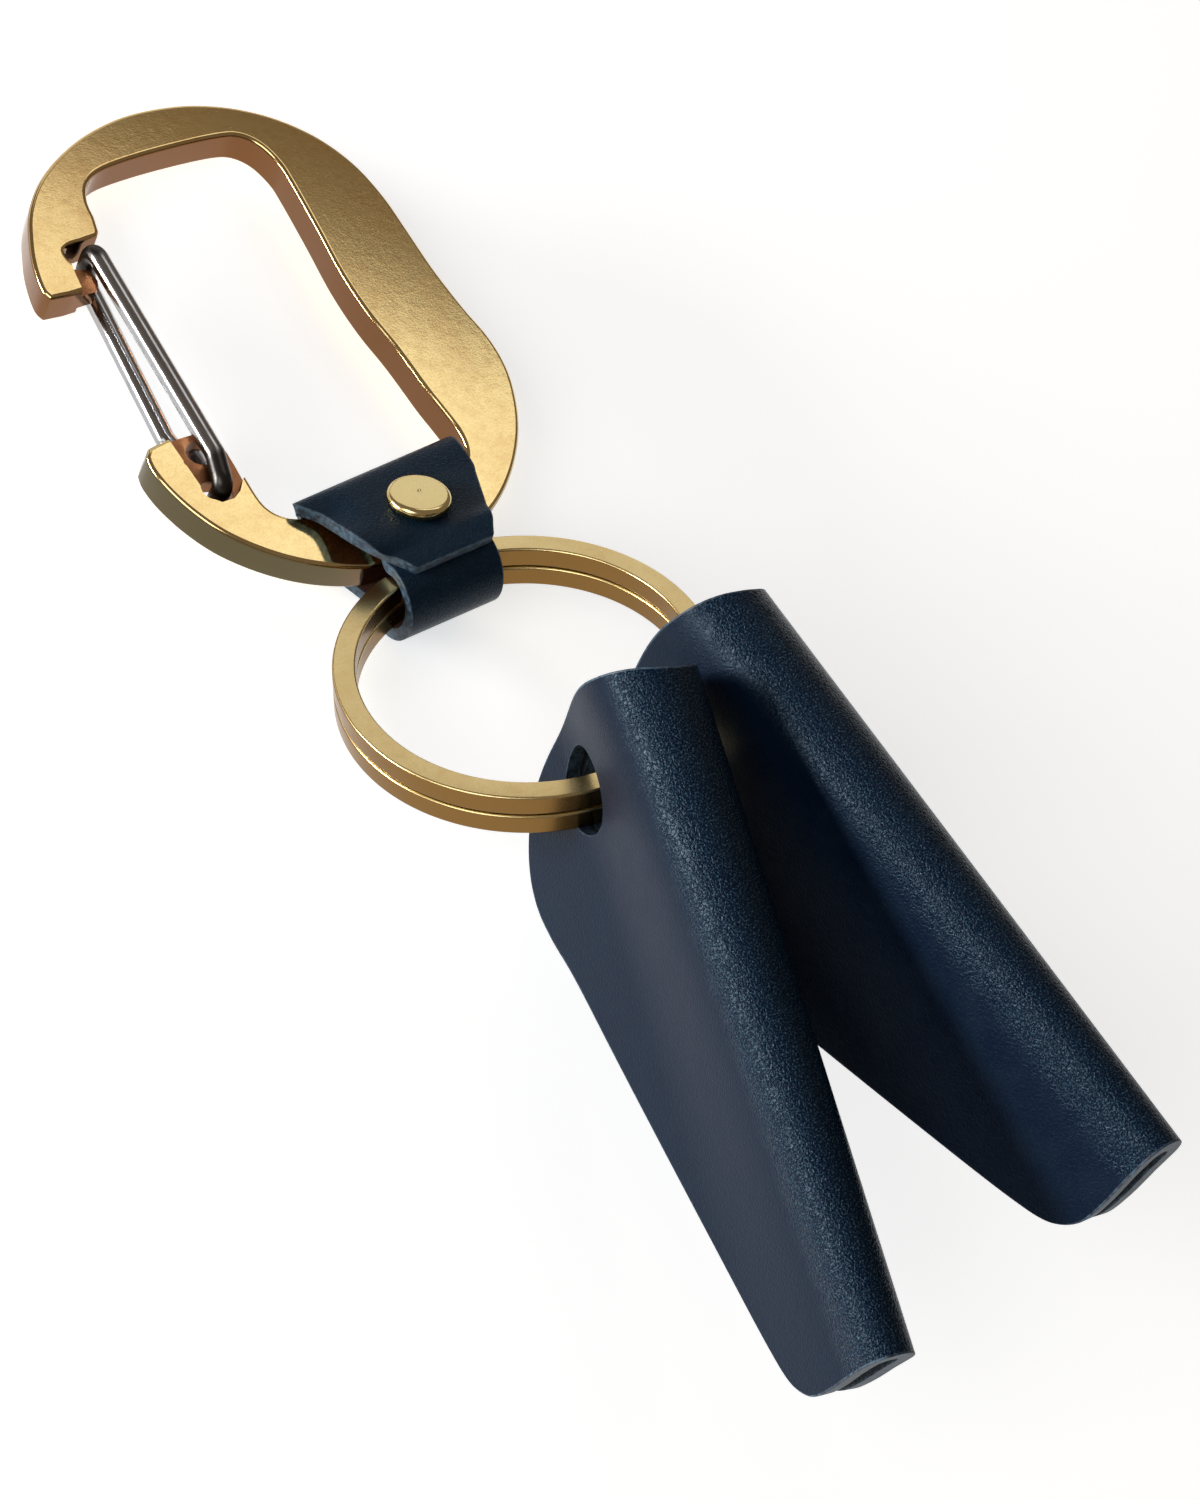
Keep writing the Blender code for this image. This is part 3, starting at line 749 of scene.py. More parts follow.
@dataclass(frozen=True)
class LeatherFinish:
    """Navy vegetable-tanned leather, smooth on its faces and pebbled over a fold, with painted
    glints on the pebbles.

    Attributes:
        part: Name of the leather part.
        base: Colour of the grain side.
        pale: Colour of rubbed high spots.
        speck_glint: Colour of the painted glints in the speckle over a fold.
        flesh: Colour of the inner side.
        cut: Colour of the burnished cut edge.
        fold_width: Half width of the pebbled strip over the fold, in centimetres.
        shine: Strength of its mirror reflection, where 0.5 is a plain plastic.
        tint: Colour of that reflection.
    """

    part: str
    base: Colour = (0.0010, 0.0054, 0.0175)
    pale: Colour = (0.004, 0.012, 0.024)
    speck_glint: Colour = (0.050, 0.105, 0.145)
    flesh: Colour = (0.045, 0.070, 0.075)
    cut: Colour = (0.040, 0.085, 0.130)
    fold_width: float = 0.0
    shine: float = 0.13
    tint: Colour = (0.66, 0.86, 1.0)

    STRIP_FADE = 0.22
    FINE_DEPTH = 0.000020
    PEBBLE_DEPTH = 0.000060
    NAP_DEPTH = 0.00009
    CUT_DEPTH = 0.00005

    def build(self, side: LeatherSide) -> bpy.types.Material:
        """Makes the material of one side.

        Args:
            side: Which surface of the leather it is for.

        Returns:
            The finished material.
        """
        shader = Shader(f"{self.part}_{side.value}")
        where = shader.hide_map()
        if side is LeatherSide.GRAIN:
            self._grain(shader, where)
        elif side is LeatherSide.FLESH:
            self._flesh(shader, where)
        else:
            self._cut(shader)
        return shader.material

    def _grain(self, shader: Shader, where: Value) -> None:
        """Dresses the outer side.

        Args:
            shader: The material's shader.
            where: The leather's flat map.
        """
        cloud = shader.clouds(where, 3.2, 4.0).step(0.30, 0.75)
        fine = shader.clouds(where, 62.0, 4.0, 0.65)
        pebble = shader.cells(shader.stretch(where, (1.0, 1.25, 1.0)), 34.0)
        crease = shader.cells(where, 26.0, "DISTANCE_TO_EDGE").step(0.0, 0.16)
        if self.fold_width:
            away = abs(shader.axis(where, "Y"))
            wander = shader.clouds(where, 5.0, 2.0) * 0.16
            strip = (away + wander).step(self.fold_width, self.fold_width + self.STRIP_FADE,
                                         1.0, 0.0)
        else:
            strip = cloud * 0.20 + 0.40
        speck = fine.step(0.52, 0.62) * pebble.step(0.15, 0.45)
        colour = shader.mix(cloud * 0.30, self.base, self.pale)
        # Painted highlight: light specks stand for glints off the pebbles, strongest over a fold.
        colour = shader.mix(speck * strip * 0.60, colour, self.speck_glint)
        rough = 0.34 + cloud * 0.05 + fine * 0.06 - strip * 0.15
        rise = shader.relief(fine, self.FINE_DEPTH)
        height = pebble.step(0.05, 0.60, 1.0, 0.0) * 0.6 + crease * 0.4
        normal = shader.relief(height * (strip * 0.70 + 0.30), self.PEBBLE_DEPTH, rise)
        shader.set(Base_Color=colour, Roughness=rough, Normal=normal,
                   Specular_IOR_Level=self.shine, Specular_Tint=self.tint)

    def _flesh(self, shader: Shader, where: Value) -> None:
        """Dresses the inner side.

        Args:
            shader: The material's shader.
            where: The leather's flat map.
        """
        nap = shader.clouds(where, 40.0, 5.0, 0.7)
        colour = shader.mix(nap.step(0.35, 0.70), self.base, self.flesh)
        shader.set(Base_Color=colour, Roughness=0.78 + nap * 0.12,
                   Normal=shader.relief(nap, self.NAP_DEPTH))

    def _cut(self, shader: Shader) -> None:
        """Dresses the burnished cut edge.

        Args:
            shader: The material's shader.
        """
        where = shader.place()
        layers = shader.clouds(where, 22.0, 4.0, 0.6)
        fine = shader.clouds(where, 70.0, 3.0)
        colour = shader.mix(layers.step(0.35, 0.68), self.base, self.cut)
        shader.set(Base_Color=colour, Roughness=0.46 + layers * 0.16,
                   Normal=shader.relief(layers * 0.6 + fine * 0.4, self.CUT_DEPTH))


@dataclass
class Carabiner:
    """The flat brass plate that is open between its nose and its hook.

    Attributes:
        length: Length that the outline's shares follow.
        thickness: Thickness of the plate.
        low: Height of its lower face.
        arris: Width of the rounded edge.
        recess_share: Depth of the wire's recess as a share of the thickness.
        hole_radius: Radius of the rivet's hole.
        gate_travel: How far the gate swings, in degrees.
        slot_radius: Radius of the slots that the wire's ends turn in.
    """

    length: float = 0.0510
    thickness: float = 0.0035
    low: float = 0.0024125
    arris: float = 0.00042
    recess_share: float = 0.26
    hole_radius: float = 0.00135
    gate_travel: float = 20.0
    slot_radius: float = 0.0012

    OUTER_SHARES = (
        (-0.3720, 0.5960), (-0.3780, 0.6180), (-0.3690, 0.6660), (-0.3520, 0.7130),
        (-0.3230, 0.7700), (-0.2760, 0.8240), (-0.2150, 0.8660), (-0.1450, 0.8970),
        (-0.0650, 0.9150), (0.0150, 0.9150), (0.0850, 0.9030), (0.1550, 0.8760),
        (0.2200, 0.8330), (0.2720, 0.7760), (0.3080, 0.7050), (0.3250, 0.6250),
        (0.3290, 0.5400), (0.3320, 0.4500), (0.3420, 0.3600), (0.3540, 0.2900),
        (0.3520, 0.2250), (0.3340, 0.1630), (0.3030, 0.1020), (0.2580, 0.0450),
        (0.2050, -0.0020), (0.1480, -0.0350), (0.0860, -0.0540), (0.0220, -0.0590),
        (-0.0420, -0.0590), (-0.1060, -0.0560), (-0.1680, -0.0350), (-0.2250, -0.0030),
        (-0.2750, 0.0380), (-0.3170, 0.0860), (-0.3470, 0.1400), (-0.3660, 0.1950),
        (-0.3720, 0.2380), (-0.3680, 0.2620),
    )
    HOOK_TIP_SHARES = (
        (-0.3560, 0.2760), (-0.3260, 0.2810), (-0.2900, 0.2840), (-0.2600, 0.2840),
    )
    INNER_SHARES = (
        (-0.2510, 0.2790), (-0.2260, 0.2450), (-0.2230, 0.2150), (-0.2240, 0.1700),
        (-0.2230, 0.1250), (-0.2150, 0.0990), (-0.1970, 0.0800), (-0.1720, 0.0690),
        (-0.1300, 0.0667), (-0.0300, 0.0667), (0.0700, 0.0667), (0.1300, 0.0670),
        (0.1600, 0.0710), (0.1810, 0.0900), (0.1890, 0.1300), (0.1840, 0.1800),
        (0.1780, 0.2250), (0.1700, 0.3200), (0.1580, 0.4050), (0.1550, 0.4950),
        (0.1620, 0.6000), (0.1670, 0.7000), (0.1660, 0.7450), (0.1520, 0.7900),
        (0.1250, 0.8180), (0.0850, 0.8270), (0.0020, 0.8290), (-0.0900, 0.8260),
        (-0.1600, 0.8170), (-0.1950, 0.7960), (-0.2120, 0.7630), (-0.2160, 0.7300),
    )
    LIP_SHARES = ((-0.2230, 0.7010), (-0.2300, 0.6930))
    NOTCH_SHARES = (
        (-0.2640, 0.6890), (-0.2900, 0.6880), (-0.3010, 0.6790), (-0.3020, 0.6640),
        (-0.2980, 0.6520), (-0.2880, 0.6460), (-0.2780, 0.6440), (-0.2690, 0.6380),
    )
    NOSE_END_SHARES = (
        (-0.2670, 0.6160), (-0.2770, 0.5980), (-0.2950, 0.5960), (-0.3350, 0.5940),
    )
    NOSE_STEP_SHARES = (
        (-0.3130, 0.5700), (-0.3070, 0.6300), (-0.3015, 0.6600), (-0.2950, 0.6800),
        (-0.2640, 0.6700), (-0.2400, 0.6000), (-0.2400, 0.5700),
    )
    RECESS_SHARES = (
        (-0.3170, 0.3200), (-0.3150, 0.2700), (-0.3080, 0.1700), (-0.3030, 0.1530),
        (-0.2890, 0.1400), (-0.2650, 0.1400), (-0.2480, 0.1500), (-0.2330, 0.1680),
        (-0.1900, 0.2000), (-0.1900, 0.3200),
    )
    UPPER_END_SHARE = (-0.2740, 0.1660)
    LOWER_END_SHARE = (-0.2680, 0.2480)
    PUNCH_SHARE = (-0.3060, 0.2290)
    PUNCH_OUTER = 0.00040
    PUNCH_INNER = 0.00027
    PUNCH_DEPTH = 0.00008
    PUNCH_STEPS = 28
    SHARP_ANGLE = 32
    LEVEL = 0.9

    @property
    def top(self) -> float:
        """Height of the upper face."""
        return self.low + self.thickness

    @property
    def recess(self) -> float:
        """Depth of the recesses."""
        return self.thickness * self.recess_share

    def outline(self) -> list[Pair]:
        """Draws the plate's edge.

        Returns:
            Its points, from the nose round the spine to the hook and back inside.
        """
        points: list[Pair] = []
        for part, steps in ((self.OUTER_SHARES, 5), (self.HOOK_TIP_SHARES, 3),
                            (self.INNER_SHARES, 5), (self.LIP_SHARES, 3),
                            (self.NOTCH_SHARES, 3), (self.NOSE_END_SHARES, 3)):
            points.extend(smooth_open(scaled(part, self.length), steps))
        return points

    def gate_ends(self) -> tuple[Pair, Pair]:
        """Where the wire's two ends enter the hook, seen from above."""
        upper, lower = scaled((self.UPPER_END_SHARE, self.LOWER_END_SHARE), self.length)
        return upper, lower

    def build(self, plate_finish: bpy.types.Material,
              recess_finish: bpy.types.Material) -> bpy.types.Object:
        """Models the plate.

        Args:
            plate_finish: Material of the plate.
            recess_finish: Material of the cut recesses.

        Returns:
            The plate.
        """
        plate = Bench.prism("carabiner_plate", self.outline(), self.low, self.top)
        plate.data.materials.append(plate_finish)
        self._round_arrises(plate)
        clear = self.thickness
        for name, shares in (("nose_step", self.NOSE_STEP_SHARES),
                             ("hook_recess", self.RECESS_SHARES)):
            drawn = scaled(shares, self.length)
            for low, high in ((self.top - self.recess, self.top + clear),
                              (self.low - clear, self.low + self.recess)):
                cutter = Bench.prism(name, drawn, low, high)
                cutter.data.materials.append(recess_finish)
                Bench.cut(plate, cutter)
        self._cut_slots(plate, recess_finish)
        self._punch(plate, recess_finish)
        Bench.smooth(plate, self.SHARP_ANGLE)
        return plate

    def _round_arrises(self, plate: bpy.types.Object) -> None:
        """Rounds the edges between the flat faces and the wall.

        Args:
            plate: The plate.
        """
        with Bench.editing(plate, "EDGE"):
            Bench.pick(plate, "edges", lambda edge: any(
                abs(face.normal.z) > self.LEVEL for face in edge.link_faces))
            bpy.ops.mesh.bevel(offset=self.arris, segments=4, profile=0.5, affect="EDGES",
                               clamp_overlap=False, loop_slide=True)

    def _cut_slots(self, plate: bpy.types.Object, finish: bpy.types.Material) -> None:
        """Cuts the slots that the wire's ends turn in, and the rivet's hole.

        Args:
            plate: The plate.
            finish: Material of the cuts.
        """
        ends = self.gate_ends()
        middle = Vector(ends[0]).lerp(Vector(ends[1]), 0.5)
        swing = Matrix.Rotation(-math.radians(self.gate_travel), 2)
        for end in ends:
            first = Vector(end)
            last = middle + swing @ (first - middle)
            self._round_cut(plate, finish, (first, last), self.slot_radius)
        self._round_cut(plate, finish, (Vector((0, 0)), Vector((0, 0))), self.hole_radius)

    def _round_cut(self, plate: bpy.types.Object, finish: bpy.types.Material,
                   centres: tuple[Vector, Vector], radius: float) -> None:
        """Cuts a round-ended slot through the plate.

        Args:
            plate: The plate.
            finish: Material of the cut.
            centres: Middles of the slot's two round ends.
            radius: Radius of the ends.
        """
        steps = 16
        ahead = centres[1] - centres[0]
        start = math.atan2(ahead.y, ahead.x) if ahead.length else 0.0
        points: list[Pair] = []
        for centre, turn in ((centres[1], -math.pi / 2), (centres[0], math.pi / 2)):
            for step in range(steps):
                angle = start + turn + math.pi * step / steps
                points.append((centre.x + radius * math.cos(angle),
                               centre.y + radius * math.sin(angle)))
        cutter = Bench.prism("slot", points, self.low - self.thickness,
                             self.top + self.thickness)
        cutter.data.materials.append(finish)
        Bench.cut(plate, cutter)

    def _punch(self, plate: bpy.types.Object, finish: bpy.types.Material) -> None:
        """Strikes the small ring mark beside the wire.

        Args:
            plate: The plate.
            finish: Material of the mark.
        """
        x, y = scaled((self.PUNCH_SHARE,), self.length)[0]
        outer, inner, depth = self.PUNCH_OUTER, self.PUNCH_INNER, self.PUNCH_DEPTH
        profile = ((outer, self.top + depth), (outer, self.top - depth / 2),
                   ((outer + inner) / 2, self.top - depth), (inner, self.top - depth / 2),
                   (inner, self.top + depth), (outer, self.top + depth))
        cutter = Bench.turned("punch", profile, self.PUNCH_STEPS)
        cutter.data.transform(Matrix.Translation((x, y, 0)))
        cutter.data.materials.append(finish)
        Bench.cut(plate, cutter)


@dataclass
class Gate:
    """The sprung gate, bent from one steel wire.

    Attributes:
        plate: The plate that the wire is fitted to.
        radius: Radius of the wire.
        bend: Radius of its bends.
        seat_gap: Gap between the wire and the recess.
        bend_limit: Largest share of a straight piece that one bend takes.
    """

    plate: Carabiner
    radius: float = 0.0009
    bend: float = 0.0014
    seat_gap: float = 0.0003
    bend_limit: float = 0.45

    TURN_SHARE = (-0.2560, 0.6640)
    UPPER_LEG_SHARE = (-0.2570, 0.2270)
    LOWER_LEG_SHARE = (-0.2800, 0.3200)
    ROUNDNESS = 7
    SHARP_ANGLE = 50

    def path(self) -> list[Vector]:
        """Lays out the middle line of the wire.

        Returns:
            Its points, from the upper end to the lower one.
        """
        upper, lower = self.plate.gate_ends()
        turn, upper_leg, lower_leg = scaled(
            (self.TURN_SHARE, self.UPPER_LEG_SHARE, self.LOWER_LEG_SHARE), self.plate.length)
        seat = self.plate.recess - self.radius - self.seat_gap
        high = self.plate.top - seat
        low = self.plate.low + seat
        corners = (
            (*upper, self.plate.top - self.plate.recess * 2), (*upper, high),
            (*upper_leg, high), (*turn, high), (*turn, low), (*lower_leg, low), (*lower, low),
            (*lower, self.plate.low + self.plate.recess * 2))
        return self._rounded(corners)

    def _rounded(self, corners: Sequence[Point]) -> list[Vector]:
        """Turns each corner of a path into a bend.

        Args:
            corners: The path's corners.

        Returns:
            Points of the rounded path.
        """
        steps = 10
        result = [Vector(corners[0])]
        for before, corner, after in zip(corners[:-2], corners[1:-1], corners[2:]):
            corner = Vector(corner)
            back = Vector(before) - corner
            ahead = Vector(after) - corner
            cut = self.bend / math.tan(back.angle(ahead) / 2)
            cut = min(cut, back.length * self.bend_limit, ahead.length * self.bend_limit)
            first = corner + back.normalized() * cut
            last = corner + ahead.normalized() * cut
            for step in range(steps + 1):
                t = step / steps
                result.append(first * (1 - t) ** 2 + corner * (2 * t * (1 - t)) + last * t ** 2)
        result.append(Vector(corners[-1]))
        return result

    def build(self, finish: bpy.types.Material) -> bpy.types.Object:
        """Bends the wire.

        Args:
            finish: The wire's material.

        Returns:
            The gate.
        """
        wire = Bench.wire("gate_wire_bent", self.path(), self.radius, self.ROUNDNESS)
        wire.data.materials.append(finish)
        Bench.smooth(wire, self.SHARP_ANGLE)
        return wire


@dataclass
class Hide:
    """A piece of leather: a flat pattern that is cut, folded and given its thickness.

    Attributes:
        name: The piece's name.
        leather: Thickness of the leather.
        columns: Faces along the pattern.
        rows: Faces across it.
        arris: Radius of the burnished edges.
    """

    name: str
    leather: float
    columns: int
    rows: int
    arris: float

    SHARP_ANGLE = 60

    def pattern(self, s: float, t: float) -> Pair:
        """Place on the flat leather of a point of the unit sheet.

        Args:
            s: Share along the piece, from 0 to 1.
            t: Share across it, from -1 to 1.

        Returns:
            Length along the leather and length across it.
        """
        raise NotImplementedError

    def folded(self, along: float, across: float) -> Vector:
        """Place in the holder of a point of the flat leather.

        Args:
            along: Length along the leather.
            across: Length across it.

        Returns:
            The place of the grain side.
        """
        raise NotImplementedError

    def cut_flat(self) -> bpy.types.Object:
        """Cuts the flat pattern and lays its map down.

        Returns:
            The flat sheet.
        """
        Bench.release()
        bpy.ops.mesh.primitive_grid_add(x_subdivisions=self.columns, y_subdivisions=self.rows,
                                        size=2)
        sheet = Bench.take(self.name)
        with Bench.editing(sheet):
            Bench.shape(sheet, lambda co: Vector(
                (*self.pattern((co.x + 1) / 2, co.y), 0)))
            self.pierce(sheet)
        layer = sheet.data.uv_layers[0]
        layer.name = "hide"
        for loop in sheet.data.loops:
            flat = sheet.data.vertices[loop.vertex_index].co
            layer.data[loop.index].uv = (flat.x / CENTIMETRE, flat.y / CENTIMETRE)
        return sheet

    def pierce(self, sheet: bpy.types.Object) -> None:
        """Makes the holes of the flat sheet, in edit mode; a plain piece has none."""

    def build(self, finish: LeatherFinish, offset: float) -> bpy.types.Object:
        """Models the piece.

        Args:
            finish: The leather's finish.
            offset: Which side the thickness goes to, as the Solidify modifier has it.

        Returns:
            The finished leather.
        """
        piece = self.cut_flat()
        for side in LeatherSide:
            piece.data.materials.append(finish.build(side))
        with Bench.editing(piece):
            Bench.shape(piece, lambda co: self.folded(co.x, co.y))
        self.face_outwards(piece)
        Bench.modify(piece, "SOLIDIFY", thickness=self.leather, offset=offset,
                     use_even_offset=False, use_rim=True, material_offset=1,
                     material_offset_rim=2)
        with Bench.editing(piece, "EDGE"):
            Bench.pick(piece, "edges", lambda edge: len(
                {face.material_index for face in edge.link_faces}) > 1)
            bpy.ops.mesh.bevel(offset=self.arris, segments=3, profile=0.5, affect="EDGES",
                               clamp_overlap=True, material=2)
        Bench.modify(piece, "SUBSURF", levels=1, render_levels=1)
        Bench.smooth(piece, self.SHARP_ANGLE)
        return piece

    def face_outwards(self, piece: bpy.types.Object) -> None:
        """Turns the sheet's faces to its grain side, which is up on its highest face.

        Args:
            piece: The folded sheet.
        """
        top = max(piece.data.polygons, key=lambda face: face.center.z)
        if top.normal.z < 0:
            piece.data.flip_normals()


@dataclass
class Strap(Hide):
    """The strap: under its own flap, round the ring, under the bar, over it and back.

    Attributes:
        plate: The plate that it is folded over.
        loop: The loop's middle, as Y and Z.
        loop_x: The loop's middle, as X.
        loop_radius: Radius of the loop's middle layer.
        fold_width: Width at the fold.
        loop_width: Width at the loop.
        slack: How far the fold stands off the bar.
        gap: Gap between leather and brass.
        reach: Length that the flap's rows follow.
        ring_roll: How far the ring rolls the loop, in degrees.
        wing_sag: Share of its height that the flap's free side sinks towards the bar.
        wing_reach: Width over which it sinks.
        wing_start: How far towards the ring it still sinks, as a share of that width.
        wing_drift: How far a sunk point moves along X and Y, as shares of how far it sinks.
    """

    plate: Carabiner = field(default_factory=Carabiner)
    loop: Pair = (-0.0055894, 0.0050725)
    loop_x: float = -0.0003185
    loop_radius: float = 0.0031554
    fold_width: float = 0.0169
    loop_width: float = 0.0091
    slack: float = 0.0007
    gap: float = 0.0002
    reach: float = 0.0021
    ring_roll: float = 9.2
    wing_sag: float = 0.65
    wing_reach: float = 0.0035
    wing_start: float = 0.4
    wing_drift: Pair = (0.66, 0.32)

    BAR_OUTER_SHARE = 0.0590
    BAR_INNER_SHARE = 0.0667
    HIDDEN_SHARES = (0.95, 0, -1)
    HIDDEN_LIFT_SHARE = 0.22
    HIDDEN_SLOPE = 1.6
    FOLD_SHIFT_SHARE = 0.40
    ROUND_DEGREES = (54, 70, 90, 110, 130, 150, 170, 190, 210, 230, 250)
    LOWEST_DEGREES = 270
    SAMPLES = 6
    # Y, height, left edge, right edge and lean of each row of the flap
    FLAP_SHARES = (
        (1.02, -0.215, -1.021, 0.884, 0.00), (0.45, 0.090, -0.967, 0.823, 0.00),
        (-0.615, 0.663, -0.867, 0.708, 0.05), (-1.243, 0.985, -0.788, 0.637, 0.25),
        (-1.553, 1.150, -0.739, 0.596, 0.55), (-1.867, 1.298, -0.649, 0.566, 1.00),
        (-2.190, 1.376, -0.577, 0.528, 1.00), (-2.548, 1.428, -0.515, 0.475, 1.00),
        (-2.890, 1.446, -0.460, 0.434, 1.00),
    )

    def layers(self) -> tuple[float, float, float]:
        """Finds how high the strap's layers lie at the rivet.

        Returns:
            Middle heights of the layer under the bar and of the two above it.
        """
        under = self.plate.low - self.gap - self.leather / 2
        over = self.plate.top + self.gap + self.leather / 2
        return under, over, over + self.leather + self.gap

    def stations(self) -> list[tuple[float, ...]]:
        """Lays out the strap's path and its width along it.

        Returns:
            Rows of (y, z, left, right, skew, rise), hidden end first: the middle of the leather,
            its two edges, and how much Y and Z grow along X.
        """
        under, over, flap = self.layers()
        loop = self.loop_width / 2
        fold = self.fold_width / 2
        reach = self.reach
        shift = self.leather * self.FOLD_SHIFT_SHARE
        skew = self.slack / fold
        rise = math.tan(math.radians(self.ring_roll))
        bar_outer = self.plate.length * self.BAR_OUTER_SHARE
        bar_inner = self.plate.length * self.BAR_INNER_SHARE
        thick = self.plate.thickness
        turn_y = bar_inner + self.slack + self.gap * 2 + self.leather / 2
        left, right = self.loop_x - loop, self.loop_x + loop
        lift = self.leather * self.HIDDEN_LIFT_SHARE
        rows = [(reach * share, over + lift * (1 - share * self.HIDDEN_SLOPE), -loop, loop, 0, 0)
                for share in self.HIDDEN_SHARES]
        for degrees in self.ROUND_DEGREES:
            rows.append((*self._round(degrees), left, right, 0, rise))
        lowest = self._round(self.LOWEST_DEGREES)[1]
        rows += [
            # from the ring to the bar
            (self.loop[0], (lowest * 2 + under) / 3, left, right, 0, rise),
            (-bar_outer - self.leather, under + self.gap / 2, left, right, 0, rise / 4),
            # under the bar, where the strap widens
            (-bar_outer * 0.90, under, -loop * 1.20, loop * 1.05, 0, 0),
            (-bar_outer * 0.20, under, -loop * 1.40, loop * 1.40, 0, 0),
            (bar_inner * 0.45, under - self.gap * 0.5, -fold * 0.76, fold * 0.90, 0, 0),
            # round the bar's inner edge
            (turn_y - self.leather * 0.45, under + self.leather * 0.28, -fold * 0.80,
             fold * 0.98, skew, 0),
            (turn_y, self.plate.low + thick * 0.22, -fold * 0.84 - shift, fold - shift, skew, 0),
            (turn_y, self.plate.top - thick * 0.10, -fold * 0.98 - shift, fold - shift, skew, 0),
            (turn_y - self.leather * 0.42, over + self.leather * 0.25, -fold * 1.09 - shift,
             fold * 0.98 - shift, skew, 0),
        ]
        for y, lift, low, high, slope in self.FLAP_SHARES:
            rows.append((reach * y, flap + self.leather * lift, fold * low, fold * high, 0,
                         rise * slope))
        return rows

    def _round(self, degrees: float) -> Pair:
        """Finds a point of the path round the ring.

        Args:
            degrees: Turn round the loop's middle, from +Y towards +Z.

        Returns:
            Its Y and Z.
        """
        angle = math.radians(degrees)
        return (self.loop[0] + self.loop_radius * math.cos(angle),
                self.loop[1] + self.loop_radius * math.sin(angle))

    def __post_init__(self) -> None:
        """Measures the strap's path, so that the flat pattern keeps its length."""
        self.samples = smooth_open(self.stations(), self.SAMPLES)
        self.path = Polyline([row[:2] for row in self.samples])

    def pattern(self, s: float, t: float) -> Pair:
        """Place on the flat leather of a point of the unit sheet."""
        return s * self.path.length, t * self.fold_width / 2

    def row_at(self, along: float) -> list[float]:
        """The station row at a length along the strap."""
        index, share = self.path.find(along)
        return [a + (b - a) * share for a, b in zip(self.samples[index], self.samples[index + 1])]

    def folded(self, along: float, across: float) -> Vector:
        """Place in the holder of a point of the flat leather.

        Args:
            along: Length along the strap.
            across: Length across it.

        Returns:
            The place of the middle of the leather.
        """
        y, z, left, right, skew, rise = self.row_at(along)
        x = left + (right - left) * (across / self.fold_width + 0.5)
        height = max(z - self.layers()[1], 0)
        outside = eased((-x - self.loop_width / 2) / self.wing_reach)
        droop = height * self.wing_sag * outside * eased(y / self.wing_reach + self.wing_start)
        return Vector((x + droop * self.wing_drift[0], y + skew * x + droop * self.wing_drift[1],
                       z - droop + rise * (x - self.loop_x)))


@dataclass
class Rivet:
    """The visible caps of the double cap rivet.

    Attributes:
        strap: The strap that the rivet holds.
        diameter: Diameter of a cap.
        height: Height of the upper cap.
        sheet: Thickness of the stamped sheet.
        seat: How far the upper cap's rim is over the flap.
        crown: How far the cap's flat rises to its middle.
        lean: How far the upper cap leans with the flap, in degrees.
    """

    strap: Strap
    diameter: float = 0.0057
    height: float = 0.00115
    sheet: float = 0.0003
    seat: float = 0.00046
    crown: float = 0.00012
    lean: float = 22.0

    FLAT_SHARE = 0.80
    DIMPLE_SHARES = ((0.0, 0.22), (0.035, 0.16), (0.060, 0.0))
    CROWN_SHARES = (0.2, 0.4, 0.6, 0.8)
    SHOULDER_STEPS = 12
    SHOULDER_SHARE = 0.45
    RIM_SHARES = ((0.992, 0.20), (0.955, 0.03), (0.90, 0.0))
    WALL_SHARE = 1.5
    CEILING_SHARE = 0.62
    CEILING_CORNER_SHARES = (0.92, 0.9)
    BASE_SHARE = 0.75
    STEPS = 72
    SHARP_ANGLE = 40

    def profile(self, height: float) -> list[Pair]:
        """Half section of a cap shell whose open rim is at level 0.

        Args:
            height: Height of the cap.

        Returns:
            Radius and height pairs, from the middle of the top to the middle of the ceiling.
        """
        radius = self.diameter / 2
        inner = radius - self.sheet * self.WALL_SHARE
        flat = radius * self.FLAT_SHARE
        points = [(radius * share, height - self.sheet * depth)
                  for share, depth in self.DIMPLE_SHARES]
        points += [(flat * share, height - self.crown * share ** 2)
                   for share in self.CROWN_SHARES]
        shoulder = height - self.crown
        low = self.SHOULDER_SHARE
        for step in range(self.SHOULDER_STEPS + 1):
            angle = math.pi / 2 * step / self.SHOULDER_STEPS
            points.append((flat + (radius - flat) * math.sin(angle),
                           shoulder * (low + (1 - low) * math.cos(angle))))
        points += [(radius * share, height * level) for share, level in self.RIM_SHARES]
        ceiling = height * self.CEILING_SHARE
        across, up = self.CEILING_CORNER_SHARES
        return points + [(inner, 0.0), (inner, ceiling * up), (inner * across, ceiling),
                         (0.0, ceiling)]

    def build(self, name: str, top: bool, finish: bpy.types.Material) -> bpy.types.Object:
        """Models one cap.

        Args:
            name: The cap's name.
            top: Whether it is the upper cap.
            finish: Its material.

        Returns:
            The cap.
        """
        under, _, flap = self.strap.layers()
        half = self.strap.leather / 2
        height = self.height if top else self.height * self.BASE_SHARE
        cap = Bench.turned(name, self.profile(height), self.STEPS)
        if top:
            lean = Matrix.Rotation(-math.radians(self.lean), 4, "X")
            cap.data.transform(Matrix.Translation((0, 0, flap + half + self.seat)) @ lean)
        else:
            flip = Matrix.Rotation(math.pi, 4, "X")
            place = Matrix.Translation((0, 0, under - half - self.strap.gap))
            cap.data.transform(place @ flip)
        cap.data.materials.append(finish)
        Bench.smooth(cap, self.SHARP_ANGLE)
        return cap


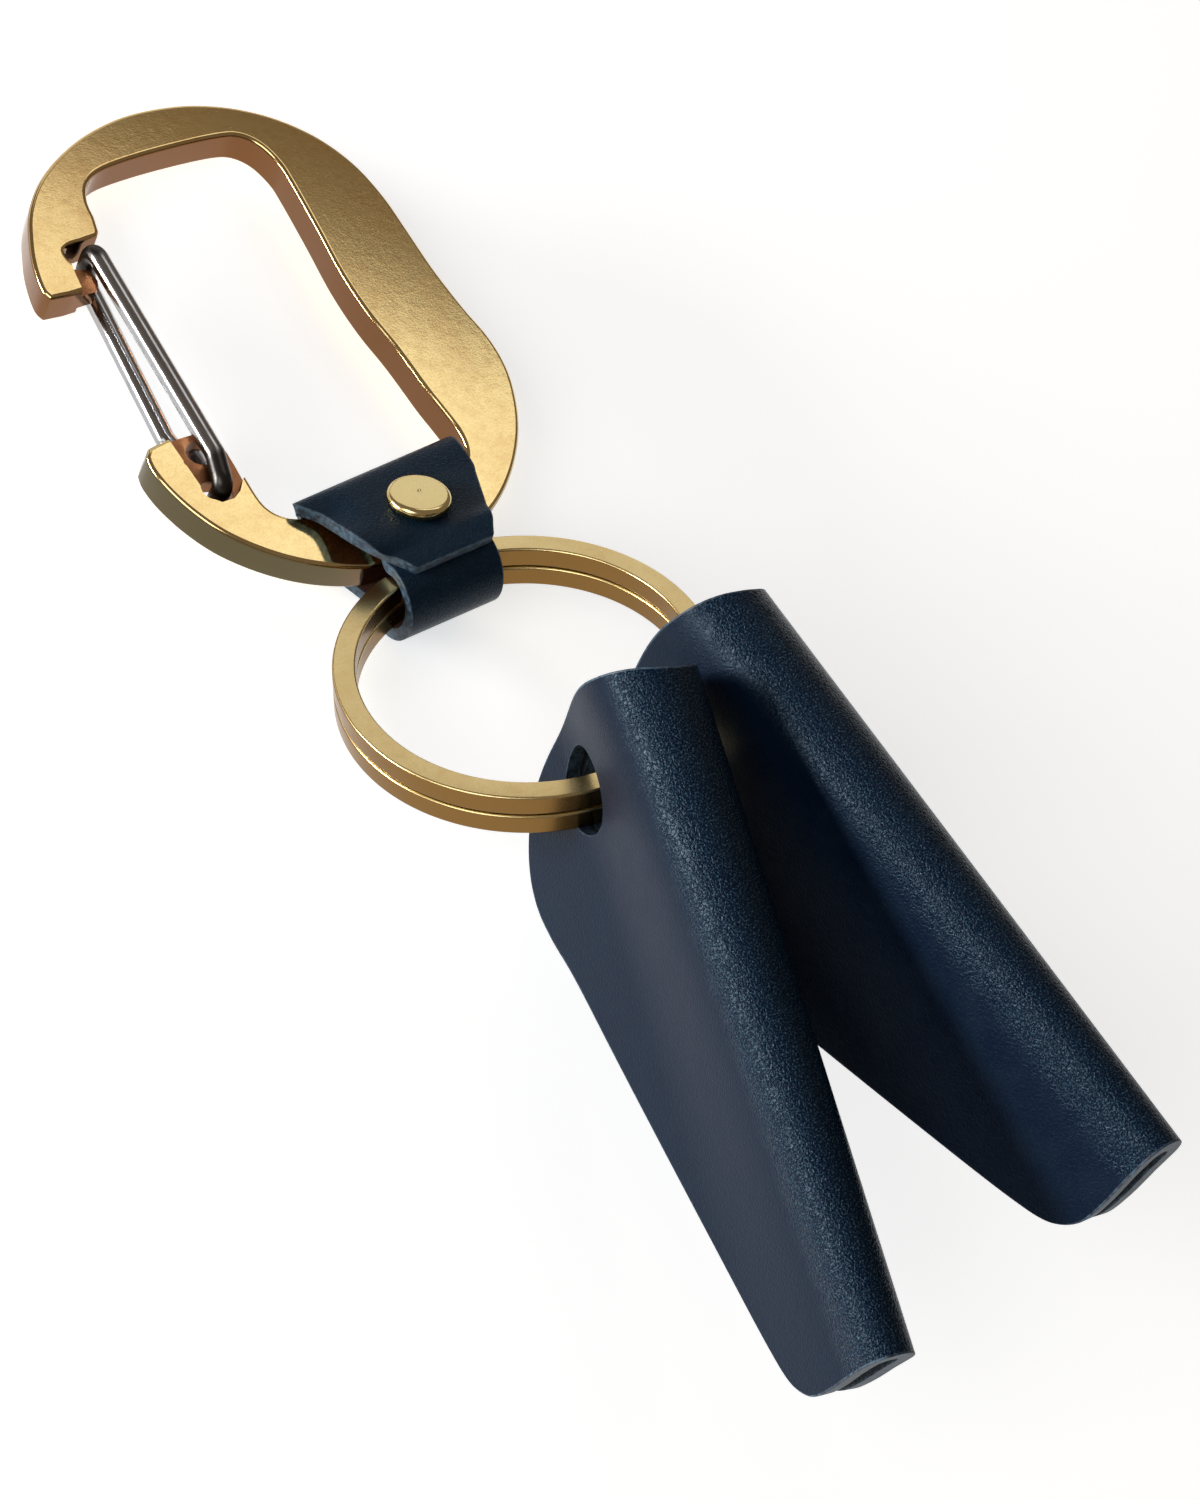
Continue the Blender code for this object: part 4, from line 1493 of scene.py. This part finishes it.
@dataclass
class SplitRing:
    """The split ring: two flat coils of square wire that lie close on each other.

    Attributes:
        strap: The strap that holds it.
        diameter: Outer diameter.
        wire_width: Width of the wire across the ring.
        wire_height: Height of the wire along the ring's axis.
        turn_gap: Gap between the coils.
        arris: Radius of the wire's edges.
        heading: Turn of the ring away from the strap's line, seen from above, in degrees.
        pitch: How far its free side is lifted, in degrees.
        roll: How far it leans to its left, in degrees.
        join_turn: Where the wire's ends lie round the ring, in degrees.
        ramp_turn: Turn over which the wire steps from one coil to the other, in degrees.
        steps: How many faces the wire has along its two turns.
    """

    strap: Strap
    diameter: float = 0.0320
    wire_width: float = 0.00195
    wire_height: float = 0.00193
    turn_gap: float = 0.0002
    arris: float = 0.00022
    heading: float = 3.9
    pitch: float = 22.7
    roll: float = 9.2
    join_turn: float = -90.0
    ramp_turn: float = 26.0
    steps: int = 360

    END_SHARE = 0.62
    SHARP_ANGLE = 40

    @property
    def mean(self) -> float:
        """Radius of the wire's middle."""
        return (self.diameter - self.wire_width) / 2

    def axes(self) -> tuple[Vector, Vector, Vector, Vector]:
        """Works out how the ring lies in the strap's loop.

        Returns:
            Its centre, the direction away from the strap, the side direction and the normal.
        """
        pitch = math.radians(self.pitch)
        roll = math.radians(self.roll)
        heading = math.radians(self.heading)
        ahead = Vector((-math.sin(heading), -math.cos(heading), 0))
        level = Vector((math.cos(heading), -math.sin(heading), 0))
        up = Vector((0, 0, 1))
        away = ahead * math.cos(pitch) + up * math.sin(pitch)
        flat = up * math.cos(pitch) - ahead * math.sin(pitch)
        normal = flat * math.cos(roll) - level * math.sin(roll)
        side = level * math.cos(roll) + flat * math.sin(roll)
        sag = self.strap.loop_width ** 2 / 16 / self.mean
        held = Vector((self.strap.loop_x, *self.strap.loop))
        return held + away * (self.mean - sag), away, side, normal

    def matrix(self) -> Matrix:
        """From ring space (X side, Y away from the strap) to the holder."""
        centre, away, side, normal = self.axes()
        return frame_matrix(centre, (side, away, -normal))

    def level(self, degrees: float) -> float:
        """Finds the height of the wire's middle, with the ramp between the coils.

        Args:
            degrees: Turn along the wire, from 0 to 720.

        Returns:
            The height in ring space.
        """
        rise = self.wire_height + self.turn_gap
        share = (degrees - 360 + self.ramp_turn / 2) / self.ramp_turn
        return rise / 2 - rise * eased(share)

    def build(self, finish: bpy.types.Material) -> bpy.types.Object:
        """Spins the wire's section twice round and lays the coils on each other.

        Args:
            finish: The ring's material.

        Returns:
            The ring.
        """
        first = math.radians(self.ramp_turn * self.END_SHARE)
        turn = 4 * math.pi - 2 * first
        Bench.release()
        bpy.ops.mesh.primitive_plane_add(size=1)
        ring = Bench.take("split_ring_coils")
        with Bench.editing(ring):
            Bench.everything()
            bpy.ops.transform.resize(value=(self.wire_width, self.wire_height, 1))
            bpy.ops.mesh.bevel(offset=self.arris, segments=3, affect="VERTICES")
            Bench.everything()
            bpy.ops.mesh.delete(type="ONLY_FACE")
            Bench.shape(ring, lambda co: Vector((self.mean + co.x, 0, co.y)))
            Bench.everything()
            section = len(bmesh.from_edit_mesh(ring.data).verts)
            bpy.ops.mesh.spin(steps=self.steps, angle=turn, center=(0, 0, 0), axis=(0, 0, -1))
            work = bmesh.from_edit_mesh(ring.data)
            work.verts.ensure_lookup_table()
            for index, vert in enumerate(work.verts):
                share = (index // section) / self.steps
                vert.co.z += self.level(math.degrees(first + turn * share))
            bmesh.update_edit_mesh(ring.data)
            for turn_end in (0, self.steps):
                Bench.nothing()
                Bench.pick(ring, "verts", lambda vert: vert.index // section == turn_end)
                bpy.ops.mesh.edge_face_add()
            Bench.outwards()
        start = Matrix.Rotation(first + math.radians(self.join_turn), 4, "Z")
        ring.data.transform(self.matrix() @ start)
        ring.data.materials.append(finish)
        Bench.smooth(ring, self.SHARP_ANGLE)
        return ring


@dataclass
class KeyCover(Hide):
    """A folded leather sheath for one key, with a hole through both faces for the ring.

    Attributes:
        ring: The ring that it hangs on.
        turns: Place round the ring, then heading, dip and lean of the cover, in degrees.
        hang: How far the hole's middle is outside the wire and above the ring's middle.
        length: Length that the outline's shares follow.
        spine: Thickness over the fold at the ring end.
        tip: Thickness over the fold at the far end.
        closed: Thickness at the free edge, where the two faces meet.
        hole: Diameter of the ring hole.
        hole_shift: How far the hole's middle is moved towards the fold.
        scoop: How far the ring end is cut back at the fold.
    """

    ring: SplitRing | None = None
    turns: tuple[float, float, float, float] = (0.0, 0.0, 0.0, 0.0)
    hang: Pair = (0.0, 0.0)
    length: float = 0.0575
    spine: float = 0.0086
    tip: float = 0.0042
    closed: float = 0.0030
    hole: float = 0.0072
    hole_shift: float = 0.0006
    scoop: float = 0.0013

    SHARES = (
        (-0.0870, -0.1860), (-0.1010, -0.1327), (-0.1080, -0.0708), (-0.1060, -0.0090),
        (-0.0920, 0.0570), (-0.0670, 0.1150), (-0.0250, 0.1660), (0.0250, 0.1980),
        (0.0780, 0.2080), (0.1330, 0.1965), (0.2120, 0.1664), (0.3540, 0.1239),
        (0.5310, 0.0690), (0.7080, 0.0124), (0.8140, -0.0248), (0.8600, -0.0478),
        (0.8867, -0.0832), (0.8920, -0.1274), (0.8900, -0.1860),
    )
    FIRST_CORNER = 6
    LAST_CORNER = 15
    START_SHARE = -0.0830
    STOP_SHARE = 0.8890
    FOLD_SHARE = -0.2566
    CLOSED_SHARE = 0.0350
    OUTLINE_STEPS = 6
    MOUTH_SHARES = (0.0, 0.25, 0.5, 0.75)
    PATCH_SHARE = 0.018
    RIM_SHARE = 0.011
    HOLE_PULL_SHARES = (0.45, 0.80, 1.0)
    SPREAD_ROUNDS = 8

    @property
    def ends(self) -> Pair:
        """Where the cover starts and stops, as lengths along the fold from the hole."""
        return self.START_SHARE * self.length, self.STOP_SHARE * self.length

    def half(self, along: float) -> float:
        """Half the thickness over the fold.

        Args:
            along: Length along the fold from the hole.

        Returns:
            The radius of the fold there.
        """
        start, stop = self.ends
        share = (along - start) / (stop - start)
        return (self.spine + (self.tip - self.spine) * share) / 2

    def fold_middle(self, along: float) -> float:
        """Where the middle of the fold's round lies, as a length across a face from the hole."""
        return self.length * self.FOLD_SHARE + self.half(along)

    def unrolled(self, along: float, across: float) -> Pair:
        """Flat place of a point of a face, beyond the fold."""
        return along, self.half(along) * math.pi / 2 + across - self.fold_middle(along)

    def __post_init__(self) -> None:
        """Draws the flat half pattern's four sides."""
        steps = self.OUTLINE_STEPS
        start, stop = self.ends
        drawn = smooth_open(scaled(self.SHARES, self.length), steps)
        edge = [self.unrolled(*point) for point in drawn]
        first, last = self.FIRST_CORNER * steps, self.LAST_CORNER * steps
        rise = edge[0][1]
        mouth = [(start + self.scoop * (1 - eased(share)), rise * share)
                 for share in self.MOUTH_SHARES]
        self.near = Polyline(mouth + edge[:first + 1])
        self.rim = Polyline(edge[first:last + 1])
        self.far = Polyline([(stop, 0.0)] + list(reversed(edge[last:])))
        self.spine_line = Polyline([(start + self.scoop, 0.0), (stop, 0.0)])
        self.hole_centre = Vector(self.unrolled(0.0, -self.hole_shift))

    def pattern(self, s: float, t: float) -> Pair:
        """Place on the flat leather of a point of the unit sheet, between the four sides.

        Args:
            s: Share along the fold.
            t: Share from the fold to a rim, whose sign names the half.

        Returns:
            Length along the leather and length across it.
        """
        side = -1 if t < 0 else 1
        t = abs(t)
        fold = self.spine_line.between(0, self.spine_line.length, s)
        rim = self.rim.between(0, self.rim.length, s)
        near = self.near.between(0, self.near.length, t)
        far = self.far.between(0, self.far.length, t)
        corners = (self.near.points[0] * ((1 - s) * (1 - t)) + self.far.points[0] * (s * (1 - t))
                   + self.near.points[-1] * ((1 - s) * t) + self.far.points[-1] * (s * t))
        flat = fold * (1 - t) + rim * t + near * (1 - s) + far * s - corners
        return flat.x, flat.y * side

    def pierce(self, sheet: bpy.types.Object) -> None:
        """Opens the ring hole in each half by pulling a patch of the grid onto a circle.

        Args:
            sheet: The flat sheet in edit mode.
        """
        radius = self.hole / 2
        block = radius + self.length * self.PATCH_SHARE
        for side in (-1, 1):
            centre = Vector((self.hole_centre.x, self.hole_centre.y * side, 0))
            bpy.ops.mesh.select_mode(type="FACE")
            Bench.nothing()
            Bench.pick(sheet, "faces", lambda face: (
                face.calc_center_median() - centre).length < block)
            bpy.ops.mesh.delete(type="FACE")
            bpy.ops.mesh.select_mode(type="EDGE")
            near = block + self.length * self.RIM_SHARE
            Bench.pick(sheet, "edges", lambda edge: edge.is_boundary and all(
                (vert.co - centre).length < near for vert in edge.verts))
            loop = self._loop(sheet)
            goal = self._circle(loop, centre, radius, self.SPREAD_ROUNDS)
            for share in self.HOLE_PULL_SHARES:
                bpy.ops.mesh.extrude_edges_move()

                def pull(co: Vector) -> Vector:
                    """Moves a point of the loop towards its place on the circle."""
                    nearest = min(range(len(loop)), key=lambda i: (loop[i] - co).length_squared)
                    return co.lerp(goal[nearest], share)

                Bench.shape(sheet, pull, selected=True)
                loop = [place.lerp(target, share) for place, target in zip(loop, goal)]

    @staticmethod
    def _loop(sheet: bpy.types.Object) -> list[Vector]:
        """Reads the selected loop of edges in order.

        Args:
            sheet: The sheet in edit mode.

        Returns:
            The place of each of the loop's points.
        """
        work = bmesh.from_edit_mesh(sheet.data)
        edge = next(item for item in work.edges if item.select)
        first = vert = edge.verts[0]
        result = []
        while True:
            result.append(vert.co.copy())
            vert = edge.other_vert(vert)
            if vert is first:
                return result
            edge = next(item for item in vert.link_edges if item.select and item is not edge)

    @staticmethod
    def _circle(loop: Sequence[Vector], centre: Vector, radius: float,
                rounds: int) -> list[Vector]:
        """Spreads the points of a loop over a circle.

        Args:
            loop: The loop's points in order.
            centre: The circle's middle.
            radius: Its radius.
            rounds: How often each step round the circle is evened out with its neighbours.

        Returns:
            Each point's place on the circle.
        """
        count = len(loop)
        angles = [math.atan2(co.y - centre.y, co.x - centre.x) for co in loop]
        turns = [(angles[(i + 1) % count] - angles[i] + math.pi) % math.tau - math.pi
                 for i in range(count)]
        for _ in range(rounds):
            turns = [(turns[i - 1] + turns[i] + turns[(i + 1) % count]) / 3
                     for i in range(count)]
        walked = [sum(turns[:i]) for i in range(count)]
        drift = sum((angles[i] - angles[0] - walked[i] + math.pi) % math.tau - math.pi
                    for i in range(count)) / count
        return [centre + Vector((math.cos(angles[0] + drift + walk),
                                 math.sin(angles[0] + drift + walk), 0)) * radius
                for walk in walked]

    def matrix(self) -> Matrix:
        """Works out how the cover hangs on the ring.

        Returns:
            The matrix from cover space (X along the fold, Y away from it, Z side) to the holder.
        """
        place, heading, dip, lean = (math.radians(turn) for turn in self.turns)
        centre, away, side, normal = self.ring.axes()
        outward = away * math.cos(place) + side * math.sin(place)
        hole = centre + outward * (self.ring.mean + self.hang[0]) + normal * self.hang[1]
        along = Vector((math.sin(heading) * math.cos(dip), -math.cos(heading) * math.cos(dip),
                        math.sin(dip)))
        down = Vector((-math.sin(lean), 0, -math.cos(lean)))
        down = (down - along * down.dot(along)).normalized()
        return frame_matrix(hole, (along, down, along.cross(down)))

    def folded(self, along: float, across: float) -> Vector:
        """Place in cover space of a point of the flat leather.

        Args:
            along: Length along the fold from the hole.
            across: Length across the leather from the fold's middle line.

        Returns:
            The place of the grain side.
        """
        half = self.half(along)
        centre = self.fold_middle(along)
        quarter = half * math.pi / 2
        edge = self.closed / 2
        beyond = abs(across)
        side = -1 if across < 0 else 1
        if beyond <= quarter:
            angle = beyond / half
            return Vector((along, centre - half * math.cos(angle),
                           side * half * math.sin(angle)))
        place = centre + beyond - quarter
        shut = self.length * self.CLOSED_SHARE
        share = eased((shut - place) / (shut - centre))
        return Vector((along, place, side * (edge + (half - edge) * share)))

    def build(self, finish: LeatherFinish, offset: float = -1.0) -> bpy.types.Object:
        """Models the cover and hangs it on the ring.

        Args:
            finish: The leather's finish.
            offset: Which side the thickness goes to.

        Returns:
            The cover.
        """
        cover = super().build(finish, offset)
        cover.data.transform(self.matrix())
        return cover


@dataclass(frozen=True)
class Softbox:
    """A rectangular softbox.

    Attributes:
        name: The light's name.
        place: Where its middle hangs.
        target: What it faces.
        size: Its width and height.
        radiance: Brightness of its face, where 1 is a white sheet in full light.
        roll: Turn about its own axis, in degrees.
    """

    name: str
    place: Point
    target: Point
    size: Pair
    radiance: float
    roll: float = 0.0

    def hang(self) -> None:
        """Puts the light into the scene."""
        data = bpy.data.lights.new(self.name, "AREA")
        data.shape = "RECTANGLE"
        data.size, data.size_y = self.size
        data.energy = self.radiance * math.pi * data.size * data.size_y
        light = Bench.add(self.name, data)
        aim = Vector(self.target) - Vector(self.place)
        turn = Matrix.Rotation(math.radians(self.roll), 3, "Z").to_quaternion()
        light.rotation_euler = (aim.to_track_quat("-Z", "Y") @ turn).to_euler()
        light.location = self.place


@dataclass
class Studio:
    """A plain pale floor, soft light and the photograph's camera.

    Attributes:
        eye: The camera's place.
        right: The picture's rightward direction.
        down: The picture's downward direction.
        ahead: The viewing direction.
        lens: Focal length, in millimetres on a 36 mm sensor.
        floor_size: Width of the floor, which reaches the horizon.
        floor_glow: Light that the floor gives of its own, as a lit white sweep does.
        floor_tint: Colour of that light.
        floor_tones: The two greys that the floor's faint clouds mix.
        nudge: How far the camera is moved down the picture.
        room: Colour of the room round the studio.
        room_strength: Its brightness.
        softboxes: The lights.
    """

    eye: Point = (-0.13139, -0.09210, 0.21077)
    right: Point = (0.78399, -0.50913, 0.35517)
    down: Point = (-0.31691, -0.82022, -0.47623)
    ahead: Point = (0.53379, 0.26080, -0.80440)
    lens: float = 72.0
    floor_size: float = 40.0
    floor_glow: float = 0.62
    floor_tint: Colour = (0.94, 0.975, 1.0)
    floor_tones: tuple[Colour, Colour] = ((0.86, 0.86, 0.86), (0.88, 0.88, 0.88))
    nudge: float = 0.0001
    room: Colour = (1.0, 0.80, 0.64)
    room_strength: float = 0.18
    softboxes: tuple[Softbox, ...] = (
        Softbox("softbox_above", (0.2152, 0.1972, 0.40), (0.2152, 0.1972, 0.0), (0.30, 0.155),
                1.12, -44.4),
        Softbox("softbox_back", (0.21, 0.49, 0.21), (0.0, -0.02, 0.01), (0.50, 0.34), 0.60),
        Softbox("softbox_far_left", (-0.50, 0.30, 0.065), (0.0, -0.04, 0.01), (0.30, 0.08), 62.0),
        Softbox("softbox_left", (-0.51, -0.045, 0.40), (0.0, -0.03, 0.01), (0.40, 0.35), 2.8),
    )

    def floor(self) -> bpy.types.Object:
        """Lays the floor.

        Returns:
            The floor.
        """
        Bench.release()
        bpy.ops.mesh.primitive_grid_add(x_subdivisions=4, y_subdivisions=4,
                                        size=self.floor_size)
        floor = Bench.take("floor")
        shader = Shader("pale_floor")
        where = shader.place()
        tone = shader.clouds(where, 0.35, 2.0)
        shader.set(Base_Color=shader.mix(tone, *self.floor_tones), Roughness=0.85,
                   Emission_Color=self.floor_tint, Emission_Strength=self.floor_glow)
        floor.data.materials.append(shader.material)
        return floor

    def camera(self) -> None:
        """Sets the camera up at the photograph's viewing angle."""
        data = bpy.data.cameras.new("photo_camera")
        data.lens = self.lens
        data.sensor_width = SENSOR_WIDTH
        data.sensor_fit = "AUTO"
        data.clip_start = 0.01
        camera = Bench.add("photo_camera", data)
        right, down, ahead = Vector(self.right), Vector(self.down), Vector(self.ahead)
        eye = Vector(self.eye) + down * self.nudge
        camera.matrix_world = frame_matrix(eye, (right, -down, -ahead))
        bpy.context.scene.camera = camera

    def lights(self) -> None:
        """Hangs the softboxes and sets the room's own light."""
        world = bpy.data.worlds.new("room")
        world.use_nodes = True
        room = world.node_tree.nodes["Background"]
        room.inputs["Color"].default_value = (*self.room, 1.0)
        room.inputs["Strength"].default_value = self.room_strength
        bpy.context.scene.world = world
        bpy.context.scene.view_settings.view_transform = "Standard"
        for softbox in self.softboxes:
            softbox.hang()

    def build(self) -> None:
        """Sets the whole studio up."""
        self.camera()
        self.floor()
        self.lights()


def main() -> None:
    """Builds the studio and every piece in order, and hangs each piece on its body."""
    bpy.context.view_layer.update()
    Studio().build()

    # The wall colours below are painted shade, darkest round the hook, and the plate is painted
    # darker towards its top.
    plate_brass = BrassFinish(
        BrassGrade.PLATE, light=(0.84, 0.67, 0.32), deep=(0.60, 0.38, 0.15),
        wall=(0.21, 0.095, 0.038), hook_wall_shade=(0.115, 0.092, 0.046), gloss=0.085, haze=0.04,
        mottle=0.55, relief=0.0000045, top_shade=0.30).build()
    recess_brass = BrassFinish(
        BrassGrade.RECESS, light=(0.42, 0.19, 0.085), deep=(0.22, 0.085, 0.035),
        wall=(0.20, 0.085, 0.035), hook_wall_shade=(0.20, 0.085, 0.035), gloss=0.34, haze=0.15,
        mottle=0.9, relief=0.000010).build()
    ring_brass = BrassFinish(
        BrassGrade.RING, light=(0.84, 0.68, 0.34), deep=(0.72, 0.53, 0.23),
        wall=(0.24, 0.13, 0.038), hook_wall_shade=(0.24, 0.13, 0.038), gloss=0.22, haze=0.08,
        mottle=0.6, relief=0.000007).build()
    rivet_brass = BrassFinish(
        BrassGrade.RIVET, light=(0.86, 0.72, 0.36), deep=(0.78, 0.60, 0.26),
        wall=(0.70, 0.50, 0.20), hook_wall_shade=(0.70, 0.50, 0.20), gloss=0.14, haze=0.08,
        mottle=0.35, relief=0.0000015).build()

    carabiner = Carabiner()
    plate = carabiner.build(plate_brass, recess_brass)
    Bench.dress(plate, "carabiner", ["carabiner_body"], "carabiner_brass")

    gate = Gate(carabiner).build(SteelFinish().build())
    Bench.dress(gate, "gate", ["gate_wire"], "gate_steel")

    strap = Strap("strap_leather_folded", leather=0.00115, columns=120, rows=18, arris=0.00022,
                  plate=carabiner)
    # The strap's grain side is a lighter navy than the covers' leather, partly as painted sheen
    # over the flap.
    hide = LeatherFinish("strap_leather", base=(0.0035, 0.0110, 0.0240),
                         flesh=(0.170, 0.058, 0.020))
    folded = strap.build(hide, offset=0.0)
    Bench.dress(folded, "carabiner", ["strap"], "strap_leather")

    rivet = Rivet(strap)
    for name, node, top in (("rivet_cap_domed", "rivet_cap", True),
                            ("rivet_base_domed", "rivet_base_cap", False)):
        cap = rivet.build(name, top, rivet_brass)
        Bench.dress(cap, "carabiner", [node], "rivet_brass")
    for node in ("rivet_socket", "rivet_post"):
        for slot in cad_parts[node].material_slots:
            slot.material = rivet_brass

    ring = SplitRing(strap)
    Bench.dress(ring.build(ring_brass), "ring", ["split_ring"], "ring_brass")

    leather = LeatherFinish("cover_leather", fold_width=0.52)
    for name, node, body, turns, hang in (
            ("key_cover_front_folded", "key_cover_front", "cover_front",
             (-9.3, -14.5, -2.1, 5.4), (0.0001, 0.0006)),
            ("key_cover_back_folded", "key_cover_back", "cover_back",
             (23.9, -1.5, 8.5, 19.0), (-0.0002, 0.0003))):
        cover = KeyCover(name, leather=0.0013, columns=72, rows=68, arris=0.00026, ring=ring,
                         turns=turns, hang=hang)
        Bench.dress(cover.build(leather), body, [node], "cover_leather")


if __name__ == "__main__":
    logging.basicConfig(level=logging.INFO, format="%(name)s: %(message)s")
    main()
